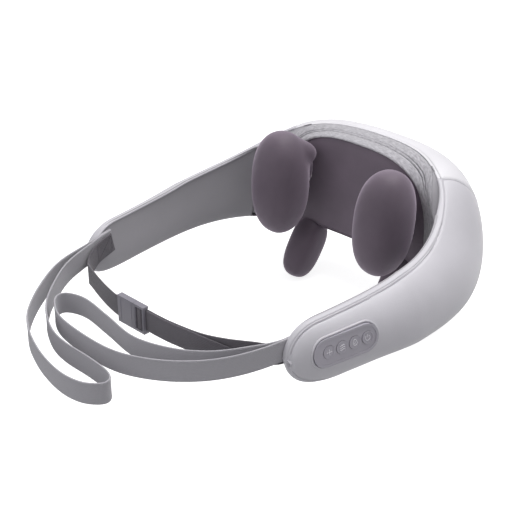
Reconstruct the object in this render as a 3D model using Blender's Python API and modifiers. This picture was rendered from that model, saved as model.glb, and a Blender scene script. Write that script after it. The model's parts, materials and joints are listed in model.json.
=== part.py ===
"""Cordless kneading massager that is worn round the neck and over the shoulders.

A padded U-shaped band has a deep back, which holds two gear units, and two thin arms
that hang forward over the shoulders.  Each gear unit rocks a padded palm and a padded
thumb against each other, so that they pinch the muscle beside the neck.  A hand loop
hangs from each arm and an elastic strap with a buckle closes the band in front.

Metres, +Z up.  The origin is the middle of the wearer's neck.  X = 0 is the plane of
symmetry, the wearer looks along -Y, and +X is the wearer's left, with the buttons.
"""
import math

import bmesh
import bpy
import numpy as np
from mathutils import Matrix, Vector

# ------------------------------------------------------------------ driving dimensions
# The band, seen from above: half width, depth behind the arms, roundness, x at the tip
TOP_EDGE = (0.1375, 0.143, 2.2, 0.1261)
BULGE_LINE = (0.162, 0.188, 2.55, 0.1365)
BOTTOM_EDGE = (0.1485, 0.135, 2.4, 0.1344)
ARMS_START_Y = -0.045
ARM_TIP_Y = -0.1725
ARM_TAPER_POWER = 1.5

# The band, seen from the side
BACK_TOP_Z = 0.069
ARM_TOP_Z = 0.0150
TOP_FALL_AT = 0.61
TOP_FALL_POWER = 4.2
BACK_BOTTOM_Z = -0.0415
ARM_BOTTOM_Z = -0.0380
TIP_RISE = 0.0
TIP_RISE_POWER = 1.2
TIP_MIDDLE_Z = -0.0115
TIP_ROUND_FROM = 1.55
TOP_ROUND_FROM = 1.76
SHOULDER_FLARE = 0.0016
SHOULDER_SAG = 0.0045
SHOULDER_SWELL = 0.0035
TOP_LEAN = math.radians(32)
TIP_ROUND_POWER = 2.8
BULGE_DROP = 0.011
SKIN_ROUNDNESS = 2.2

# Layers of the band
LEATHER = 0.0018
LINING = 0.0016
FABRIC = 0.0015
GAP = 0.0004
LAYER_GAP = 0.001
EDGE_GAP = 0.0030
FRAME_WALL = 0.0024
PIPING_RADIUS = 0.0010
PIPING_PROUD = 0.0003
RIM_WIDTH = 0.0052
LINING_BULGE = 0.0035
LINING_FROM = 0.635
KNIT_END = 0.62
CORNER_AT = 0.7
CORNER_HOLLOW = 0.004
CENTRE_PANEL_END = 0.43
FRAME_END = 0.84
SPRING_THICKNESS = 0.0008

# The dark panel between the palms
PANEL_HALF_WIDTH = 0.086
PANEL_MIDDLE_Z = -0.010
PANEL_RISE = 0.079
PANEL_BOTTOM_Z = -0.034
PANEL_ROUNDNESS = 3.0
PANEL_Y = 0.062
PANEL_CURVE = 0.8
PANEL_INSET = 0.0024

# Palms and thumbs
PALM_CENTRE = (0.068, 0.024, 0.022)
PALM_HALF_SIZE = (0.030, 0.031, 0.0515)
PALM_ROUNDNESS = 2.5
THUMB_ROOT = (0.060, 0.0665, -0.041)
THUMB_TIP = (0.060, 0.0455, -0.0723)
THUMB_RADIUS = 0.0140
THUMB_TAPER = 0.07

# Gear unit: its middle plane, its wheel and its two pivots, as (y, z)
UNIT_X = 0.066
WHEEL_AXIS = (0.088, -0.002)
WHEEL_TEETH = 20
GEAR_MODULE = 0.0014
WHEEL_WIDTH = 0.005
WORM_PITCH_RADIUS = 0.004
WORM_SIDES = 10
WORM_Y = (0.0815, 0.0945)
SHAFT_RADIUS = 0.003
BUSH_RADIUS = 0.005
CAM_RADIUS = 0.006
CAM_OFFSET = 0.0022
ARM_PLANE = 0.009
ARM_PLATE = 0.005
PALM_PIVOT = (0.076, 0.020)
THUMB_PIVOT = (0.0745, -0.018)
PIN_RADIUS = 0.0025
RUNNING_GAP = 0.0001
CASE_HALF_WIDTH = 0.020
CASE_Y = (0.068, 0.1062)
CASE_Z = (-0.029, 0.032)
CASE_WALL = 0.002
MOTOR_RADIUS = 0.0115
MOTOR_LENGTH = 0.015

# Control pod on the outside of the left arm
POD_AT = 1.636
POD_HEIGHT_SHARE = 0.41
POD_LENGTH = 0.0645
POD_WIDTH = 0.025
POD_DEPTH = 0.005
POD_SLOPE = -2.0
BUTTON_PITCH = 0.0128
BUTTON_SHIFT = 0.002
BUTTON_RADIUS = 0.0056
BUTTON_NAMES = ("plus", "mode", "heat", "power")

# Straps
WEBBING_WIDTH = 0.020
WEBBING = 0.0014
LEFT_LOOP = [(0.1226, -0.149), (0.1193, -0.172), (0.109, -0.200), (0.093, -0.226), (0.072, -0.248),
             (0.046, -0.264), (0.020, -0.271), (-0.016, -0.271), (-0.045, -0.267), (-0.064, -0.258),
             (-0.074, -0.248), (-0.071, -0.239), (-0.052, -0.234), (-0.017, -0.239), (0.024, -0.245),
             (0.059, -0.235), (0.084, -0.217), (0.103, -0.194), (0.1177, -0.172), (0.1210, -0.149)]
LEFT_LOOP_Z = (-0.004, -0.010, -0.010)
RIGHT_LOOP = [(-0.1230, -0.149), (-0.1198, -0.172), (-0.116, -0.214), (-0.099, -0.249), (-0.076, -0.277),
              (-0.054, -0.293), (-0.033, -0.303), (-0.008, -0.311), (0.019, -0.315), (0.039, -0.312),
              (0.051, -0.303), (0.052, -0.294), (0.042, -0.288), (0.017, -0.286), (-0.013, -0.286),
              (-0.035, -0.282), (-0.058, -0.271), (-0.078, -0.256), (-0.095, -0.236), (-0.110, -0.209),
              (-0.1179, -0.172), (-0.1212, -0.149)]
RIGHT_LOOP_Z = (0.001, -0.012, -0.015)
BUCKLE = (-0.0170, -0.2115, -0.010)
BUCKLE_SIZE = (0.034, 0.0055, 0.026)
ELASTIC = 0.0012
LAYER_SPACING = 0.0018
LEFT_ELASTIC = [(0.1192, -0.149), (0.1157, -0.171), (0.0975, -0.184), (0.078, -0.196), (0.058, -0.204),
                (0.030, -0.2084), (0.013, -0.2093)]
TAIL_END_X = 0.083
TAIL_DROOP = 0.007
RIGHT_ELASTIC = [(-0.1194, -0.149), (-0.1162, -0.171), (-0.109, -0.1865), (-0.093, -0.1955), (-0.065, -0.2055),
                 (-0.042, -0.2110), (-0.0313, -0.2115)]
RIGHT_ELASTIC_Z = (-0.001, -0.006, -0.014, -0.0112, -0.010, -0.010, -0.010)

# ------------------------------------------------------------------ scene and materials
for leftover in list(bpy.data.objects):
    bpy.data.objects.remove(leftover, do_unlink=True)

parts = bpy.data.collections.new("shoulder_massager")
cutters = bpy.data.collections.new("cutters")
for collection in (parts, cutters):
    bpy.context.scene.collection.children.link(collection)

FINISHES = {
    "leather_light": ((0.72, 0.71, 0.74), 0.5, 0.0),
    "leather_grey": ((0.45, 0.44, 0.47), 0.5, 0.0),
    "lining_grey": ((0.34, 0.33, 0.36), 0.6, 0.0),
    "knit_grey": ((0.36, 0.35, 0.38), 0.95, 0.0),
    "stretch_mauve": ((0.13, 0.11, 0.13), 0.6, 0.0),
    "webbing_grey": ((0.33, 0.31, 0.34), 0.85, 0.0),
    "elastic_dark": ((0.10, 0.09, 0.10), 0.8, 0.0),
    "buckle_dark": ((0.09, 0.08, 0.10), 0.4, 0.0),
    "pod_grey": ((0.22, 0.21, 0.24), 0.4, 0.0),
    "frame_white": ((0.75, 0.75, 0.73), 0.5, 0.0),
    "foam": ((0.55, 0.54, 0.50), 0.95, 0.0),
    "steel": ((0.60, 0.60, 0.62), 0.3, 1.0),
    "brass": ((0.70, 0.55, 0.25), 0.35, 1.0),
    "board_green": ((0.05, 0.22, 0.10), 0.5, 0.0),
    "cell_wrap": ((0.10, 0.20, 0.45), 0.4, 0.0),
    "film_amber": ((0.60, 0.35, 0.08), 0.4, 0.0),
}


def material(finish):
    found = bpy.data.materials.get(finish)
    if found:
        return found
    colour, roughness, metallic = FINISHES[finish]
    made = bpy.data.materials.new(finish)
    made.use_nodes = True
    shader = made.node_tree.nodes["Principled BSDF"]
    shader.inputs["Base Color"].default_value = (*colour, 1.0)
    shader.inputs["Roughness"].default_value = roughness
    shader.inputs["Metallic"].default_value = metallic
    return made


# ------------------------------------------------------------------ mesh helpers
def add_object(name, mesh, finish=None, place=None):
    """Links a mesh as a part, or as a cutter when it has no finish."""
    made = bpy.data.objects.new(name, mesh)
    if finish:
        parts.objects.link(made)
        mesh.materials.append(material(finish))
        mesh.shade_smooth()
        mesh.set_sharp_from_angle(angle=math.radians(35))
    else:
        cutters.objects.link(made)
        made.hide_render = True
        made.display_type = "WIRE"
    if place:
        made.matrix_world = place
    return made


def finished_mesh(name, shape):
    mesh = bpy.data.meshes.new(name)
    shape.to_mesh(mesh)
    shape.free()
    return mesh


def box(name, low, high, finish=None, place=None):
    shape = bmesh.new()
    bmesh.ops.create_cube(shape, size=1.0)
    size = Vector(high) - Vector(low)
    bmesh.ops.scale(shape, vec=size, verts=shape.verts)
    bmesh.ops.translate(shape, vec=(Vector(low) + Vector(high)) / 2, verts=shape.verts)
    return add_object(name, finished_mesh(name, shape), finish, place)


def rod(name, start, end, radius, finish=None, place=None, end_radius=None, sides=12):
    """A cylinder, or a cone, between two points."""
    start, end = Vector(start), Vector(end)
    shape = bmesh.new()
    bmesh.ops.create_cone(shape, cap_ends=True, segments=sides, radius1=radius,
                          radius2=end_radius or radius, depth=(end - start).length)
    turn = (end - start).to_track_quat("Z", "Y").to_matrix().to_4x4()
    bmesh.ops.transform(shape, matrix=Matrix.Translation((start + end) / 2) @ turn, verts=shape.verts)
    return add_object(name, finished_mesh(name, shape), finish, place)


def capsule_plate(name, length, width, low, high, finish=None, place=None, sides=8):
    """A plate with round ends, in the local XY plane, from z = low to z = high."""
    shape = bmesh.new()
    radius = width / 2
    outline = []
    for end in (1, -1):
        for step in range(sides + 1):
            angle = math.pi * (step / sides - 0.5)
            outline.append((end * (length / 2 - radius + radius * math.cos(angle)),
                            end * radius * math.sin(angle), low))
    face = shape.faces.new([shape.verts.new(point) for point in outline])
    lifted = bmesh.ops.extrude_face_region(shape, geom=[face])
    bmesh.ops.translate(shape, vec=(0, 0, high - low),
                        verts=[item for item in lifted["geom"] if isinstance(item, bmesh.types.BMVert)])
    bmesh.ops.recalc_face_normals(shape, faces=shape.faces)
    return add_object(name, finished_mesh(name, shape), finish, place)


def grid_mesh(name, rows, inside):
    """A sheet through rows of points, whose faces look away from the point inside."""
    shape = bmesh.new()
    lattice = [[shape.verts.new(point) for point in row] for row in rows]
    for row, following in zip(lattice, lattice[1:]):
        for a, b, c, d in zip(row, row[1:], following[1:], following):
            shape.faces.new((a, b, c, d))
    shape.normal_update()
    facing = sum(face.normal.dot(face.calc_center_median() - Vector(inside)) for face in shape.faces)
    if facing < 0:
        bmesh.ops.reverse_faces(shape, faces=shape.faces)
    return finished_mesh(name, shape)


def sheet(name, rows, thickness, inside, finish=None, centred=False):
    """A thin shell: an open sheet made solid towards the point inside."""
    made = add_object(name, grid_mesh(name, rows, inside), finish)
    solid = made.modifiers.new("thickness", "SOLIDIFY")
    solid.thickness = thickness
    solid.offset = 0.0 if centred else -1.0
    solid.use_even_offset = True
    return made


def tube_loft(name, loops, finish):
    """A closed body through a row of closed outlines."""
    shape = bmesh.new()
    rings = [[shape.verts.new(point) for point in loop] for loop in loops]
    for ring, following in zip(rings, rings[1:]):
        for index in range(len(ring)):
            after = (index + 1) % len(ring)
            shape.faces.new((ring[index], ring[after], following[after], following[index]))
    shape.faces.new(rings[0])
    shape.faces.new(rings[-1])
    bmesh.ops.triangulate(shape, faces=[f for f in shape.faces if len(f.verts) > 4])
    bmesh.ops.recalc_face_normals(shape, faces=shape.faces)
    return add_object(name, finished_mesh(name, shape), finish)


def boolean(target, tool, operation="DIFFERENCE"):
    cut = target.modifiers.new(operation.lower(), "BOOLEAN")
    cut.operation = operation
    cut.object = tool
    return target


def pipe(name, points, radius, finish, closed=False):
    curve = bpy.data.curves.new(name, "CURVE")
    curve.dimensions = "3D"
    curve.bevel_depth = radius
    curve.bevel_resolution = 2
    curve.use_fill_caps = True
    line = curve.splines.new("POLY")
    line.points.add(len(points) - 1)
    for slot, point in zip(line.points, points):
        slot.co = (*point, 1.0)
    line.use_cyclic_u = closed
    curve.materials.append(material(finish))
    made = bpy.data.objects.new(name, curve)
    parts.objects.link(made)
    return made


def smooth_path(points, per_span):
    """A Catmull-Rom curve through the points."""
    knots = [np.array(point, float) for point in points]
    knots = [2 * knots[0] - knots[1]] + knots + [2 * knots[-1] - knots[-2]]
    path = []
    for a, b, c, d in zip(knots, knots[1:], knots[2:], knots[3:]):
        for step in range(per_span):
            t = step / per_span
            path.append(0.5 * (2 * b + (c - a) * t + (2 * a - 5 * b + 4 * c - d) * t ** 2
                               + (3 * b - a - 3 * c + d) * t ** 3))
    return path + [knots[-2]]


# ------------------------------------------------------------------ shape of the band
# Along the band, u is 0 at the middle of the back, 1 where an arm starts and 2 at its tip;
# negative u is the wearer's right.  Across it, v is 0 at the top edge and 1 at the bottom.
def plan_point(line, u):
    half_width, depth, roundness, tip_x = line
    if u <= 1:
        angle = u * math.pi / 2
        return (half_width * math.sin(angle) ** (2 / roundness),
                ARMS_START_Y + depth * max(math.cos(angle), 0.0) ** (2 / roundness))
    along = u - 1
    return (half_width - (half_width - tip_x) * along ** ARM_TAPER_POWER,
            ARMS_START_Y + (ARM_TIP_Y - ARMS_START_Y) * along)


def tip_shrink(u, start=TIP_ROUND_FROM, power=TIP_ROUND_POWER):
    reach = min(max(0.0, (u - start) / (2 - start)), 1.0)
    return (1 - reach ** power) ** (1 / power)


def eased(share):
    share = min(max(share, 0.0), 1.0)
    return share * share * (3 - 2 * share)


def edge_heights(u):
    top = ARM_TOP_Z + (BACK_TOP_Z - ARM_TOP_Z) / (1 + (u / TOP_FALL_AT) ** TOP_FALL_POWER)
    bottom = ARM_BOTTOM_Z + (BACK_BOTTOM_Z - ARM_BOTTOM_Z) / (1 + (2 * u) ** 3)
    bottom += TIP_RISE * max(0.0, u - 1) ** TIP_RISE_POWER
    return (TIP_MIDDLE_Z + (top - TIP_MIDDLE_Z) * tip_shrink(u, TOP_ROUND_FROM, 2.2),
            TIP_MIDDLE_Z + (bottom - TIP_MIDDLE_Z) * tip_shrink(u))


def edges(u):
    """The top edge, the bulge line and the bottom edge of the skin at u."""
    top_z, bottom_z = edge_heights(u)
    top = np.array([*plan_point(TOP_EDGE, u), top_z])
    top -= inward(max(u, 0.02)) * SHOULDER_FLARE * eased((u - 0.34) / 0.12) * (1 - eased((u - 0.52) / 0.3))
    bottom = np.array([*plan_point(BOTTOM_EDGE, u), bottom_z])
    chord = (top + bottom) / 2
    bulge = np.array([*plan_point(BULGE_LINE, u), chord[2]])
    bulge = chord + (bulge - chord) * (0.35 + 0.65 * tip_shrink(u))
    bulge -= inward(max(u, 0.02)) * SHOULDER_SWELL * eased((u - 0.6) / 0.3) * (1 - eased((u - 1.0) / 0.4))
    bulge[2] -= BULGE_DROP * min(1.0, 2 - u) + SHOULDER_SAG * eased((u - 0.3) / 0.3) * (1 - eased((u - 0.9) / 0.5))
    return top, bulge, bottom


def inward(u):
    """Level direction from the skin towards the neck."""
    before, after = (np.array(plan_point(BULGE_LINE, u + shift)) for shift in (-0.01, 0.01))
    along = after - before
    across = np.array([along[1], -along[0], 0.0])
    across /= np.linalg.norm(across)
    return across if across[0] < 0 or abs(across[0]) < 1e-9 else -across


def bowed(top, middle, bottom, v, roundness, lean=0.0):
    """A point on the two quarter ovals that join top, middle and bottom.

    lean is the angle at which the upper oval starts, so that it leaves the top edge sloping down."""
    end, share = (top, 2 * v) if v <= 0.5 else (bottom, 2 - 2 * v)
    first = lean if v <= 0.5 else 0.0
    angle = first + share * (math.pi / 2 - first)
    out, cut_out = (math.sin(a) ** (2 / roundness) for a in (angle, first))
    along, cut_along = (1 - max(math.cos(a), 0.0) ** (2 / roundness) for a in (angle, first))
    out, along = (out - cut_out) / (1 - cut_out), (along - cut_along) / (1 - cut_along)
    point = end + (middle - end) * out
    point[2] = end[2] + (middle[2] - end[2]) * along
    return point


def skin(u, v):
    side = -1 if u < 0 else 1
    lean = TOP_LEAN * eased((abs(u) - 0.40) / 0.30)
    return bowed(*edges(abs(u)), v, SKIN_ROUNDNESS, lean) * np.array([side, 1, 1])


def lining(u, v):
    side = -1 if u < 0 else 1
    u = abs(u)
    top, bulge, bottom = edges(u)
    towards_neck = inward(max(u, 0.02))
    top, bottom = top + towards_neck * RIM_WIDTH, bottom + towards_neck * RIM_WIDTH
    middle = (top + bottom) / 2 + towards_neck * LINING_BULGE * (0.3 + 0.7 * tip_shrink(u))
    return bowed(top, middle, bottom, v, SKIN_ROUNDNESS) * np.array([side, 1, 1])


def layer(surface, u, v, depth, outer=True):
    """A point at a depth under a surface, measured square to it."""
    step = 0.004
    v_low, v_high = max(v - step, 0.001), min(v + step, 0.999)
    along = surface(u + step, v) - surface(u - step, v)
    across = surface(u, v_high) - surface(u, v_low)
    normal = np.cross(along, across)
    normal /= np.linalg.norm(normal)
    here = surface(u, v)
    outwards = skin(u, 0.5) - lining(u, 0.5)
    if not outer:
        outwards = -outwards
    if abs(v - 0.5) > 0.45:
        outwards = here - (skin(u, 0.5) + lining(u, 0.5)) / 2
    if normal @ outwards < 0:
        normal = -normal
    return here - normal * depth


def spread(low, high, count):
    return [low + (high - low) * index / (count - 1) for index in range(count)]


def arm_stations(start, end, count):
    """Stations that crowd together towards the round tip."""
    return [start + (end - start) * math.sin(math.pi / 2 * index / (count - 1)) ** 1.15
            for index in range(count)]


def knit_edge_outer(t):
    """Outer edge of the knit band: along the back's top edge, then down behind an arm."""
    turn = 0.62
    if t <= turn:
        u = t / turn * KNIT_END
        return edges(u)[0] + inward(max(u, 0.02)) * EDGE_GAP
    share = (t - turn) / (1 - turn) * 0.84
    return lining(KNIT_END, share)


def panel_edge(angle, inset=0.0):
    """The edge of the dark panel, from the middle of its top round to its side."""
    x = (PANEL_HALF_WIDTH - inset) * math.sin(angle) ** (2 / PANEL_ROUNDNESS)
    z = PANEL_MIDDLE_Z + (PANEL_RISE - inset) * max(math.cos(angle), 0.0) ** (2 / PANEL_ROUNDNESS)
    return x, z


def panel_y(x):
    return PANEL_Y - PANEL_CURVE * x * x


def knit_edge_inner(t):
    """Inner edge of the knit band: round the dark panel and down its side."""
    turn = 0.75
    if t <= turn:
        x, z = panel_edge(t / turn * math.pi / 2)
    else:
        x, z = PANEL_HALF_WIDTH, PANEL_MIDDLE_Z
        z += (PANEL_BOTTOM_Z + PANEL_INSET - z) * (t - turn) / (1 - turn)
    return np.array([x, panel_y(x), z])


def knit(t, w):
    """A point of the knit band; negative t is the wearer's right."""
    side = -1 if t < 0 else 1
    t = abs(t)
    corner = min(max((t - 0.42) / 0.22, 0.0), 1.0)
    hollow = CORNER_HOLLOW * corner * corner * (3 - 2 * corner) * math.sin(math.pi * w)
    point = knit_edge_outer(t) * (1 - w) + knit_edge_inner(t) * w - inward(CORNER_AT) * hollow
    return point * np.array([side, 1, 1])


# ------------------------------------------------------------------ covers and frame
NECK = (0.0, -0.02, 0.0)
SIDES = (("left", 1), ("right", -1))


def outer_covers():
    rows = [[skin(u, v) for v in spread(0, 1, 9)] for u in spread(-CENTRE_PANEL_END, CENTRE_PANEL_END, 17)]
    sheet("outer_cover_centre", rows, LEATHER, NECK, "leather_light")
    for name, side in SIDES:
        start = CENTRE_PANEL_END + 0.006
        stations = spread(start, 1.0, 7)[:-1] + arm_stations(1.0, 1.972, 11)
        rows = [[skin(side * u, v) for v in spread(0, 1, 9)] for u in stations]
        cover = sheet("outer_cover_" + name, rows, LEATHER, NECK, "leather_grey")
        if side > 0:
            boolean(cover, pod_cutter)


def rear_frame():
    rows = [[layer(skin, u, v, LEATHER + 1.4 * LAYER_GAP) for v in spread(0.16, 0.76, 7)]
            for u in spread(-FRAME_END, FRAME_END, 21)]
    sheet("rear_frame", rows, FRAME_WALL, NECK, "frame_white")


def arm_linings():
    for name, side in SIDES:
        stations = spread(LINING_FROM, 1.1, 6)[:-1] + arm_stations(1.1, 1.966, 10)
        rows = [[lining(side * u, v) for v in spread(0, 1, 8)] for u in stations]
        sheet("inner_lining_" + name, rows, LINING, (side * 0.3, -0.1, 0.0), "lining_grey")


def rim_point(u, bottom, side):
    """The middle of the piping, which lies between the outer cover and the lining."""
    top_edge, _, bottom_edge = edges(u)
    edge = bottom_edge if bottom else top_edge
    lift = PIPING_PROUD * (-1 if bottom else 1)
    point = edge + inward(u) * RIM_WIDTH * (0.60 if bottom else 0.39) + np.array([0, 0, lift])
    return point * np.array([side, 1, 1])


def edge_piping():
    for name, side in SIDES:
        stations = spread(LINING_FROM + 0.01, 1.5, 9)[:-1] + arm_stations(1.5, 2.0, 9)
        path = [rim_point(u, False, side) for u in stations]
        path += [rim_point(u, True, side) for u in reversed(stations[:-1])]
        pipe("edge_piping_" + name, path, PIPING_RADIUS, "leather_grey")


def arm_fillings():
    """Foam core and spring strip between the outer cover and the lining of each arm."""
    strip_depth = LINING + GAP
    core_depth = strip_depth + SPRING_THICKNESS + LAYER_GAP / 2
    for name, side in SIDES:
        across = spread(0.18, 0.82, 6)
        loops = []
        for u in spread(0.93, 1.90, 11):
            outer_half = [layer(skin, side * u, v, LEATHER + LAYER_GAP) for v in across]
            inner_half = [layer(lining, side * u, v, core_depth, outer=False) for v in across]
            loops.append(outer_half + inner_half[::-1])
        core = tube_loft("arm_core_" + name, loops, "foam")
        if side > 0:
            boolean(core, pod_cutter)
        rows = [[layer(lining, side * u, v, strip_depth, outer=False) for v in spread(0.40, 0.60, 3)]
                for u in spread(0.95, 1.86, 10)]
        sheet("arm_spring_" + name, rows, SPRING_THICKNESS, (side * 0.3, -0.1, 0.0), "steel")


def knit_bands():
    inside = (0.0, 0.10, -0.30)
    for name, low, high in (("outer", 0.0, 0.425), ("inner", 0.575, 1.0)):
        rows = [[knit(t, w) for w in spread(low, high, 3)] for t in spread(-1, 1, 45)]
        sheet("knit_gusset_" + name, rows, FABRIC, inside, "knit_grey")
    rows = [[knit(t, w) for w in (0.46, 0.54)] for t in spread(-1, 1, 45)]
    sheet("zip_chain", rows, 0.0012, inside, "elastic_dark")


def dark_covers():
    """The stretch panel that faces the neck and the cover under the back."""
    inset = PANEL_INSET
    rows = []
    for step in spread(-1, 1, 25):
        x, top_z = panel_edge(abs(step) * math.pi / 2, inset)
        x = math.copysign(x, step)
        bottom_z = PANEL_BOTTOM_Z + inset
        rows.append([(x, panel_y(x), z) for z in (top_z, bottom_z)])
    panel = sheet("inner_cover", rows, FABRIC, (0.0, 0.3, 0.0), "stretch_mauve")
    rows = []
    for step in spread(-1, 1, 31):
        share = abs(step)
        outer = edges(share * KNIT_END)[2] + inward(max(share * KNIT_END, 0.02)) * EDGE_GAP
        corner = 0.6
        if share <= corner:
            x = PANEL_HALF_WIDTH * share / corner
            inner = np.array([x, panel_y(x), PANEL_BOTTOM_Z])
        else:
            panel_end = np.array([PANEL_HALF_WIDTH, panel_y(PANEL_HALF_WIDTH), PANEL_BOTTOM_Z])
            arm_end = lining(KNIT_END, 1.0)
            inner = panel_end + (arm_end - panel_end) * (share - corner) / (1 - corner) * 0.98
        mirror = np.array([math.copysign(1, step), 1, 1])
        rows.append([(inner + (outer - inner) * w) * mirror for w in (0, 1)])
    bottom = sheet("bottom_cover", rows, FABRIC, (0.0, 0.07, 0.3), "stretch_mauve")
    for name, side in SIDES:
        hole = rod("palm_hole_" + name, (side * PALM_CENTRE[0], 0.030, PALM_PIVOT[1]),
                   (side * PALM_CENTRE[0], 0.080, PALM_PIVOT[1]), 0.0135)
        boolean(panel, hole)
        slot = box("thumb_hole_" + name, (side * THUMB_ROOT[0] - 0.011, 0.050, -0.050),
                   (side * THUMB_ROOT[0] + 0.011, 0.0750, -0.025))
        boolean(bottom, slot)
    boolean(bottom, box("port_hole", (-0.0094, 0.0756, -0.060), (0.0094, 0.0884, -0.030)))


def zip_slider():
    """A slider on the upright part of the zip, behind the left arm, with a hanging pull."""
    t = 0.84
    middle = knit(t, 0.5)
    downwards = Vector(knit(t + 0.02, 0.5) - knit(t - 0.02, 0.5)).normalized()
    sideways = Vector(knit(t, 0.6) - knit(t, 0.4)).normalized()
    outwards = sideways.cross(downwards).normalized()
    if outwards.dot(Vector((-1.0, -1.0, 0.0))) < 0:
        outwards = -outwards
    level = Vector((sideways.x, sideways.y, 0)).normalized()
    facing = Vector((outwards.x, outwards.y, 0)).normalized()
    place = Matrix((level, facing, Vector((0, 0, 1)))).transposed().to_4x4()
    place.translation = Vector(middle) + facing * 0.0016
    slider = box("zip_slider", (-0.0038, 0.0, -0.0045), (0.0038, 0.0018, 0.0045), "buckle_dark", place)
    for side in (-1, 1):
        ear = box("slider_ear_%d" % side, (side * 0.0024 - 0.0007, 0.0012, 0.0004),
                  (side * 0.0024 + 0.0007, 0.0052, 0.0036), None, place)
        boolean(slider, ear, "UNION")
    hang = place.copy()
    hang.translation = place @ Vector((0, 0.0036, 0.0020))
    pull = box("zip_pull", (-0.0013, -0.0006, -0.0160), (0.0013, 0.0006, 0.0010), "buckle_dark", hang)
    tab = box("pull_tab", (-0.0024, -0.0006, -0.0200), (0.0024, 0.0006, -0.0080), None, hang)
    boolean(pull, tab, "UNION")


# ------------------------------------------------------------------ gear units
def unit_point(side, x, y, z):
    return (side * (UNIT_X + x), y, z)


def across_unit(name, side, centre, radius, low_x, high_x, finish=None, **options):
    """A cylinder along X, from low_x to high_x measured from the unit's middle plane."""
    return rod(name, unit_point(side, low_x, *centre), unit_point(side, high_x, *centre), radius, finish,
               **options)


def gear_cases():
    for name, side in SIDES:
        middle_gap = 0.00015
        cavity = box("case_cavity_" + name,
                     (side * UNIT_X - CASE_HALF_WIDTH + CASE_WALL, CASE_Y[0] + CASE_WALL, CASE_Z[0] + CASE_WALL),
                     (side * UNIT_X + CASE_HALF_WIDTH - CASE_WALL, CASE_Y[1] - CASE_WALL, CASE_Z[1] - CASE_WALL))
        front = box("case_front_" + name, (side * UNIT_X - 0.015, CASE_Y[0] - 0.01, 0.004),
                    (side * UNIT_X + 0.015, CASE_Y[0] + 0.01, 0.029))
        below = box("case_below_" + name, (side * UNIT_X - 0.0165, CASE_Y[0] - 0.01, CASE_Z[0] - 0.01),
                    (side * UNIT_X + 0.0165, 0.090, -0.004))
        shaft_hole = rod("worm_hole_" + name, unit_point(side, 0, 0.095, worm_z()),
                         unit_point(side, 0, 0.110, worm_z()), 0.0032)
        bush_hole = across_unit("bush_hole_" + name, side, WHEEL_AXIS, BUSH_RADIUS + GAP, 0.0, 0.03)
        shaft_bore = across_unit("shaft_bore_" + name, side, WHEEL_AXIS, SHAFT_RADIUS + RUNNING_GAP, -0.03, 0.0,
                                 sides=16)
        pin_holes = [across_unit("pin_hole_%s_%d" % (name, index), side, pivot, PIN_RADIUS + GAP, -0.03, 0.03)
                     for index, pivot in enumerate((PALM_PIVOT, THUMB_PIVOT))]
        for half, start, end in (("inner", -CASE_HALF_WIDTH, -middle_gap), ("outer", middle_gap, CASE_HALF_WIDTH)):
            ends = sorted((side * (UNIT_X + start), side * (UNIT_X + end)))
            shell = box("gear_case_%s_%s" % (half, name), (ends[0], CASE_Y[0], CASE_Z[0]),
                        (ends[1], CASE_Y[1], CASE_Z[1]), "frame_white")
            bearing = shaft_bore if half == "inner" else bush_hole
            for tool in (cavity, front, below, shaft_hole, bearing, *pin_holes):
                boolean(shell, tool)


def worm_z():
    return WHEEL_AXIS[1] + WHEEL_TEETH * GEAR_MODULE / 2 + WORM_PITCH_RADIUS


def motors_and_worms():
    lead = math.pi * GEAR_MODULE
    for name, side in SIDES:
        motor = rod("motor_" + name, unit_point(side, 0, CASE_Y[1] + GAP, worm_z()),
                    unit_point(side, 0, CASE_Y[1] + GAP + MOTOR_LENGTH, worm_z()), MOTOR_RADIUS, "steel", sides=16)
        motor.modifiers.new("rounded_rim", "BEVEL").width = 0.001
        shape = bmesh.new()
        stations = spread(WORM_Y[0], WORM_Y[1], 22)
        rings = []
        for y in stations:
            ring = []
            for index in range(WORM_SIDES):
                angle = index / WORM_SIDES * 2 * math.pi
                wave = math.cos(side * angle - 2 * math.pi * (y - WHEEL_AXIS[0]) / lead)
                radius = WORM_PITCH_RADIUS - 0.0003 + 0.0009 * max(wave, -0.6)
                ring.append(shape.verts.new((radius * math.sin(angle), y, -radius * math.cos(angle))))
            rings.append(ring)
        for ring, following in zip(rings, rings[1:]):
            for index in range(WORM_SIDES):
                after = (index + 1) % WORM_SIDES
                shape.faces.new((ring[index], ring[after], following[after], following[index]))
        shape.faces.new(rings[0])
        shape.faces.new(rings[-1])
        bmesh.ops.triangulate(shape, faces=[f for f in shape.faces if len(f.verts) > 4])
        bmesh.ops.recalc_face_normals(shape, faces=shape.faces)
        place = Matrix.Translation((side * UNIT_X, 0, worm_z()))
        worm = add_object("worm_" + name, finished_mesh("worm_" + name, shape), "steel", place)
        spindle = rod("worm_spindle_" + name, unit_point(side, 0, 0.0797, worm_z()),
                      unit_point(side, 0, CASE_Y[1] + 0.0001, worm_z()), 0.0019)
        boolean(worm, spindle, "UNION")


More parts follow.
